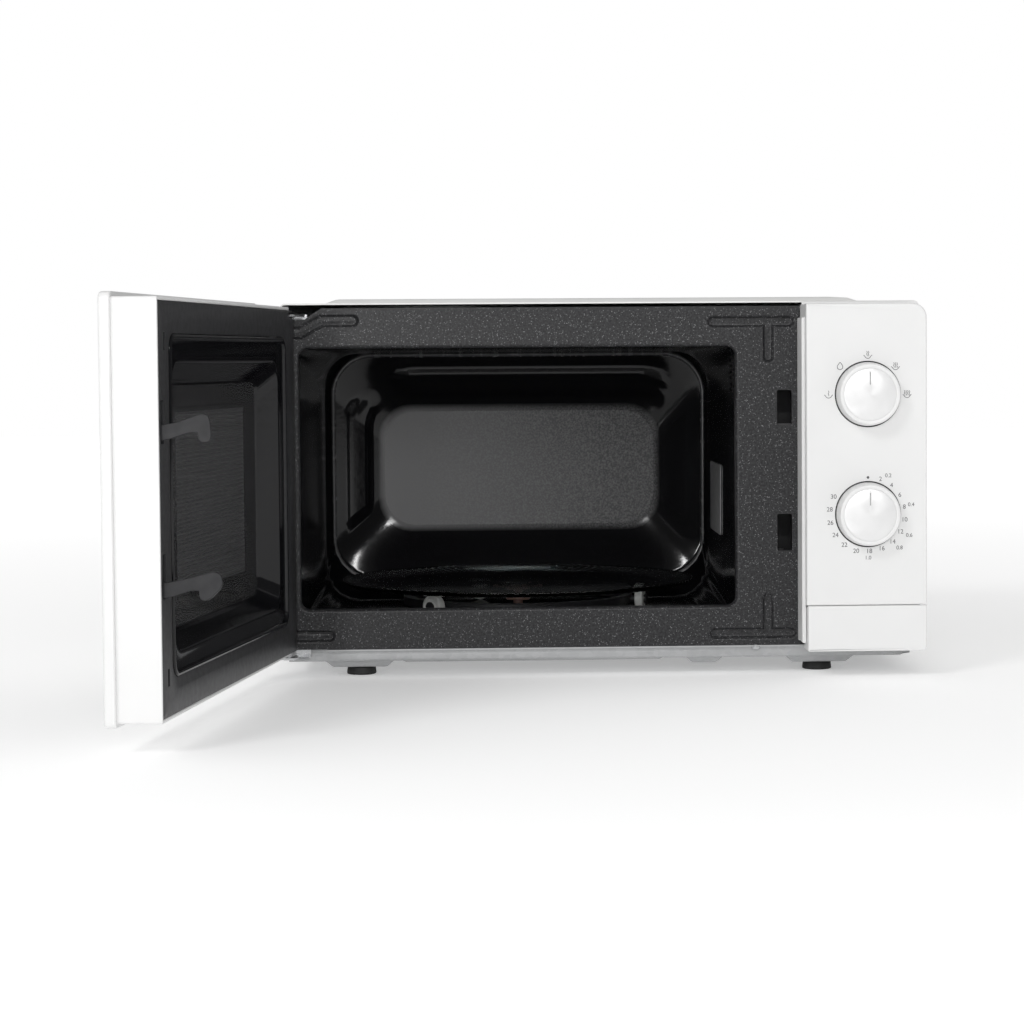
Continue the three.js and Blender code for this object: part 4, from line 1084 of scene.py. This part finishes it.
def rollers():
    """The ring that carries three roller wheels round the cavity's floor."""
    spin = axis_of("glass_tray", "z")
    z = axis_of("roller_wheel_2", "x")[2]
    track = [(78.5, -3), (84.5, -3), (85, -2.5), (85, 2.5), (84.5, 3), (78.5, 3), (78, 2.5), (78, -2.5)]
    whole = [lathe([(r, z + h) for r, h in track], spin, "z", 128)]
    for angle in ROLLER_ANGLES:
        for r, near, far in ((2.4, 83, 96.2), (3.9, 95.6, 97)):
            whole.append(turned(rod(r, near, far, (0, 0, z), "x", 24, 0.3), angle, spin))
    stands_for("roller_carrier", merged(*whole), "roller_ring", sharp=40)
    r = 8.75
    half = [(2.8, 3), (3.6, 3), (3.9, 2.4), (6.6, 2.4), (6.9, 3), (r - 0.9, 3), (r - 0.2, 2.6), (r, 1.9)]
    outline = [(radius, 92 - h) for radius, h in half] + [(radius, 92 + h) for radius, h in reversed(half)]
    for i, angle in enumerate(ROLLER_ANGLES, 1):
        wheel = turned(lathe(outline, (0, 0, z), "x", 64), angle, spin)
        stands_for(f"roller_{i}", wheel, f"roller_wheel_{i}", sharp=40)


def coupler():
    b = node_box("turntable_coupler")
    spin = axis_of("glass_tray", "z")
    hub = [rod(3.5, b.z0, 42, spin, "z", 32, 0.3), rod(9, 40, b.z1, spin, "z", 48, 0.7)]
    for i in range(3):
        arm = [(0, -4), *arc(17, 0, 4, -90, 90, 8), (0, 4)]
        hub.append(turned(cushioned(arm, (b.z1 - 0.1, 42), 0.7, "z"), 30 + 120 * i, spin))
    stands_for("coupler_hub", merged(*hub), "turntable_coupler", sharp=40)


# ---- Door, drawn shut ----
def knuckle_x(y, r):
    """The door's hinge edge, rounded about the hinge so that it can turn past the front plate."""
    return HINGE.x - math.sqrt(max(0.0, r * r - (y - HINGE.y) ** 2)) if y > HINGE.y else HINGE.x - r


def hinge_corner():
    """Cutter that gives the door's top corner room for the upper hinge."""
    return rod(14, 248.2, 251.4, (HINGE.x, HINGE.y, 0), "z", 48)


def door_frame():
    b = node_box("door_frame", True)
    skirt = Section(b.x0 + 0.5, b.x1 - 2.7, b.z0 + 2.7, b.z1 - 2.8, 1.4)
    bezel = Section(b.x0, b.x1, b.z0, b.z1, 4)
    front, ledge, inner = b.y0, -27, b.y1
    nose = [(grown(bezel, -2.2 * (1 - sin)), front + 2.2 * (1 - cos)) for sin, cos in turns(90, 5)]
    r = HINGE.x - skirt.x0
    outer = [(skirt, HINGE.y)] + [(skirt._replace(x0=knuckle_x(y, r)), y) for y in (-4.6, -3.6, -2.6, -1.9)]
    end = skirt._replace(x0=knuckle_x(inner - 0.35, r))
    hollow = Section(skirt.x0 + 1.5, skirt.x1 - 2, skirt.z0 + 2.1, skirt.z1 - 2.1, 0.6)
    tight = hollow._replace(x0=end.x0 + 1.1)
    rim = [(end, inner - 0.35), (grown(end, -0.35), inner),
           (grown(end, -1.6)._replace(x0=end.x0 + 1.0), inner), (tight, inner - 0.5),
           (tight, inner - 1.2), (hollow, -5.5)]
    moulding = rings((grown(WINDOW, 0.9), front), *nose, (bezel, ledge - 0.6), (grown(bezel, -0.6), ledge),
                     (skirt, ledge), *outer, *rim, (hollow, -30.8), (WINDOW, -30.8), (WINDOW, front + 0.9))
    open_side = -4.8
    for v in moulding.verts:
        if v.co.x < HINGE.x + 2 and v.co.y > open_side:
            v.co.y = open_side + (v.co.y - open_side) * 0.06  # the inner cover closes the hinge side
    stands_for("door_moulding", carved(moulding, hinge_corner()), "door_frame", sharp=40)


def door_glass():
    b = node_box("door_window", True)
    pane = cushioned(rounded(grown(WINDOW, -0.35)), (b.y0, -29.6), 0.5)
    flange = slab(rectangle((b.x0, b.x1), (b.z0, b.z1), 6), (-30.5, b.y1), "y")
    stands_for("door_window_glass", merged(pane, flange), "door_window", sharp=40)


def choke_cover():
    b = node_box("choke_cover", True)
    face = b.y1
    edge = Section(HINGE.x - 1.2, b.x1, b.z0, b.z1, 1.2)
    depth = Section(-210.7, b.x1, b.z0, b.z1, 1.2)
    inside = grown(depth, -2)
    turn = [(edge._replace(x0=knuckle_x(y, 4.35)), y) for y in (-1.9, -2.7, -3.5, -4.4)]
    plate = rings((grown(edge, -0.6), face), (grown(edge, -0.15), face - 0.25), *turn, (depth, -4.45),
                  (depth, -11), (inside, -11), (inside, face - 2), (grown(RECESS, 0.5), face - 2),
                  (RECESS, face - 1.5), (RECESS, face - 1.2), (grown(RECESS, 5.6), face - 0.25),
                  (grown(RECESS, 6.6), face))
    holes = [block((122.6, 129.4), (-6, 2), (low + 1.6, high + 1), 0.8) for low, high in LATCH_SLOTS]
    holes += [block((117.5, 121.5), (-4, 2), (low, low + 10), 0.5) for low in (225.5, 37)]
    plate = carved(plate, merged(*holes), hinge_corner())
    lug = block((113, 123), (-17, face - 1.2), (212.3, 215))
    knuckles = []
    for low, high in ((b.z0, 28), (238.5, 247.8)):
        barrel = [(1.9, low), (4.2, low), (4.5, low + 0.3), (4.5, high - 0.3), (4.2, high), (1.9, high)]
        knuckles.append(lathe(barrel, (HINGE.x, HINGE.y, 0), "z", 32))
        knuckles.append(block((-211.4, -208), (-9, face - 1.4), (low, high)))
    stands_for("choke_cover_moulding", merged(plate, lug, *knuckles), "choke_cover", sharp=40)


def door_pan():
    """The metal pan in the door: rounded lip, flat flange, deep well and its perforated floor."""
    edge, floor = WELL_Y
    rim = grown(RECESS, -0.3)
    lip = [(grown(rim, -1.5 + 1.5 * cos), -2.1 + 1.3 * sin) for sin, cos in turns(180, 8)]
    brim = [(grown(WELL, 1.6 - 2.2 * sin), edge - 2.2 * (1 - cos)) for sin, cos in turns(54, 3)]
    foot = [(grown(WELL_FLOOR, 1.8 - 2.6 * sin), floor + 2.2 * (1 - sin)) for sin, _ in turns(90, 4)]
    front = [*lip, (grown(rim, -3.2), edge + 0.15), (grown(rim, -3.6), edge), (grown(WELL, 3), edge),
             *brim, *foot]
    back = [(PERFORATED, floor), (PERFORATED, floor - 0.9), (grown(WELL_FLOOR, 0.9), floor - 1),
            (grown(WELL, 1), edge - 2.4), (grown(rim, -1), edge - 1), (rim, edge - 0.6)]
    pan = rings(*front, *back, steps=12)
    outline, window = Section(-212, 112, 24, 249, 2), grown(WELL_FLOOR, 0.5)
    flange = rings((outline, floor - 0.4), (outline, floor - 1), (window, floor - 1), (window, floor - 0.4))
    p = PERFORATED
    bars = [block((p.x0 - 1, p.x1 + 1), (floor - 0.3, floor + 0.5), (z, z + 1.1), 0.4)
            for z in (p.z0 - 3.4, p.z1 + 2.3)]
    stands_for("door_pan", merged(pan, flange, *bars), "door_screen", sharp=40)
    screen = perforated_sheet(grown(p, 2), (floor - 1.2, floor - 0.6))
    piece("perforated_sheet", screen, perforated_steel, "door", SLOT_OF["door_screen"], sharp=50)


def perforated_sheet(area, span, pitch=2.8, hole=0.95):
    """A closed sheet of six-sided cells with a round hole in each."""
    bm, known, sides = bmesh.new(), {}, {}
    tall = pitch / math.sqrt(3)

    def vertex(x, z, level):
        key = (round(x * 50), round(z * 50), level)
        if key not in known:
            known[key] = bm.verts.new((x, span[level], z))
        return known[key]

    rows = int((area.z1 - area.z0) / (1.5 * tall))
    columns = int((area.x1 - area.x0) / pitch)
    for row in range(rows):
        for column in range(columns):
            x = area.x0 + (column + 0.5 + 0.5 * (row % 2)) * pitch
            z = area.z0 + (row + 0.7) * 1.5 * tall
            corners = [(x + tall * sin, z + tall * cos) for sin, cos in turns(360, 6)]
            rim = []
            for (cx, cz), (nx, nz) in zip(corners, corners[1:]):
                rim += [(cx, cz), ((cx + nx) / 2, (cz + nz) / 2)]
            bore = [(x + hole * sin, z + hole * cos) for sin, cos in turns(360, 12)[:-1]]
            loops = [[vertex(u, v, level) for u, v in loop] for loop in (rim, bore) for level in (0, 1)]
            add_quads(bm, loops[0], loops[2], True)
            add_quads(bm, loops[1], loops[3], True)
            add_quads(bm, loops[2], loops[3], True)
            for k in range(12):
                pair = (rim[k], rim[(k + 1) % 12])
                key = tuple(sorted((round(u * 50), round(v * 50)) for u, v in pair))
                sides.setdefault(key, []).append(pair)
    for pairs in sides.values():
        if len(pairs) == 1:
            a, b = pairs[0]
            bm.faces.new((vertex(*a, 0), vertex(*b, 0), vertex(*b, 1), vertex(*a, 1)))
    return bm


def latch_hooks():
    b = node_box("latch_hooks", True)
    x0, x1 = b.x1 - 4.5, b.x1 - 0.5
    middle = (x0 + x1) / 2
    parts = [block((x0 - 0.5, x1 + 0.5), (b.y0, -9), (82, 186), 1),
             block((113, x1), (b.y0, -10), (185, 188.2), 0.8)]
    for z, reach, nose, head in ((175, 27, 7, 2), (87, 32.5, 13, 7)):
        beak = reach - nose
        loop = [(-10, 0), (0, 0), (beak - 1, 6), (beak, -0.5), (beak + 5, -1), (reach, head),
                (reach - 1, 13.5), (reach - 5, 15.5), (8, 10.5), (-1, 9), (-10, 9)]
        loop = softened([(y, z + h) for y, h in loop])
        arm = slab(loop[::-1], (x0, x1), "x")
        bmesh.ops.subdivide_edges(arm, edges=[e for e in arm.edges if e.calc_length() > 4], cuts=2)
        for v in arm.verts:
            thin = 0.62 * eased((v.co.y - (reach - 6)) / 5)
            v.co.x = middle + (v.co.x - middle) * (1 - thin)
        parts.append(arm)
    stands_for("hook_slide", merged(*parts), "latch_hooks", finish=hook_plastic, edge=0.45, sharp=40)


# ---- The CAD nodes that stay ----
def dress_cad_nodes():
    """Every node gets a finish and smooth shading. Some that keep their shape get rounded edges."""
    special = {"inner_film": clear_film()}
    for name, node in NODES.items():
        node.data.materials.clear()
        node.data.materials.append(special.get(name, FINISH[SLOT_OF[name]]))
        for face in node.data.polygons:
            face.use_smooth = True
    for name in ("hinge_upper", "hinge_lower", "release_lever", "lever_bracket", "latch_board",
                 "fan_blade", "fan_housing"):
        rounded_edges(NODES[name], 0.3, 40)


# ---- Studio ----
def area_light(name, place, aim, size, power):
    data = bpy.data.lights.new(name, "AREA")
    data.shape, data.energy = "RECTANGLE", power
    data.size, data.size_y = size
    light = linked(name, data)
    light.location = place
    light.rotation_euler = (Vector(aim) - Vector(place)).to_track_quat("-Z", "Y").to_euler()
    return light


def surroundings():
    """A world that looks white, lights softly and is dimmer where a glossy surface mirrors it."""
    world = bpy.data.worlds.new("studio")
    world.use_nodes = True
    tree = world.node_tree
    back = tree.nodes["Background"]
    back.inputs["Color"].default_value = (1, 1, 1, 1)
    path = tree.nodes.new("ShaderNodeLightPath")
    level = None
    for ray, low, high in (("Is Glossy Ray", 0.60, 0.11), ("Is Camera Ray", None, 1.0)):
        power = tree.nodes.new("ShaderNodeMapRange")
        power.inputs["To Max"].default_value = high
        if level:
            tree.links.new(level, power.inputs["To Min"])
        else:
            power.inputs["To Min"].default_value = low
        tree.links.new(path.outputs[ray], power.inputs["Value"])
        level = power.outputs[0]
    tree.links.new(level, back.inputs["Strength"])
    bpy.context.scene.world = world


def lights():
    """Two soft lights that leave no mirror image, and two narrow strips that are only seen mirrored."""
    key = area_light("key", (-2.4, -3.2, 2.9), (0, 0, 0.1), (1.3, 1.3), 48)
    front = area_light("front", (-0.1, -2.6, 0.6), (0, 0.1, 0.12), (0.8, 0.8), 17)
    key.visible_glossy = front.visible_glossy = False
    for name, place, size, power in (("strip_left", (-0.45, -1.3, 0.2), (0.045, 0.36), 4.5),
                                     ("strip_top", (0.1, -2.3, 1.0), (1.6, 0.06), 22)):
        strip = area_light(name, place, (0.05, 0.3, 0.13), size, power)
        strip.visible_diffuse = strip.visible_camera = False


def paper_floor():
    """White paper that fades into the surroundings with distance."""
    mesh = bpy.data.meshes.new("floor")
    bm = bmesh.new()
    bmesh.ops.create_grid(bm, x_segments=1, y_segments=1, size=6)
    bm.to_mesh(mesh)
    bm.free()
    floor = linked("floor", mesh)
    cover = Finish("floor_paper", (0.92, 0.92, 0.92), 0.9, specular_ior_level=0.1, emission_strength=0.5)
    away = cover.node("ShaderNodeVectorMath", [(0, cover.place)], 1, operation="LENGTH")
    cover.set("Emission Color", cover.blend(cover.spread(away, 0.5, 2.5, 0, 1), (0.5, 0.5, 0.5), (1, 1, 1)))
    cover.relief(cover.noise(300, 3), 0.1, 0.2)
    mesh.materials.append(cover.material)


dress_cad_nodes()
front_plate()
cavity()
outer_cover()
rear_panel()
base_plate()
control_panel()
knob("power_dial", "power_knob", "power_dial")
knob("timer_dial", "timer_knob", "timer_dial")
release_button()
dial_marks()
feet()
screws()
cord_gland()
glass_tray()
rollers()
coupler()
door_frame()
door_glass()
choke_cover()
door_pan()
latch_hooks()
surroundings()
lights()
paper_floor()
bpy.context.scene.view_settings.view_transform = "Standard"
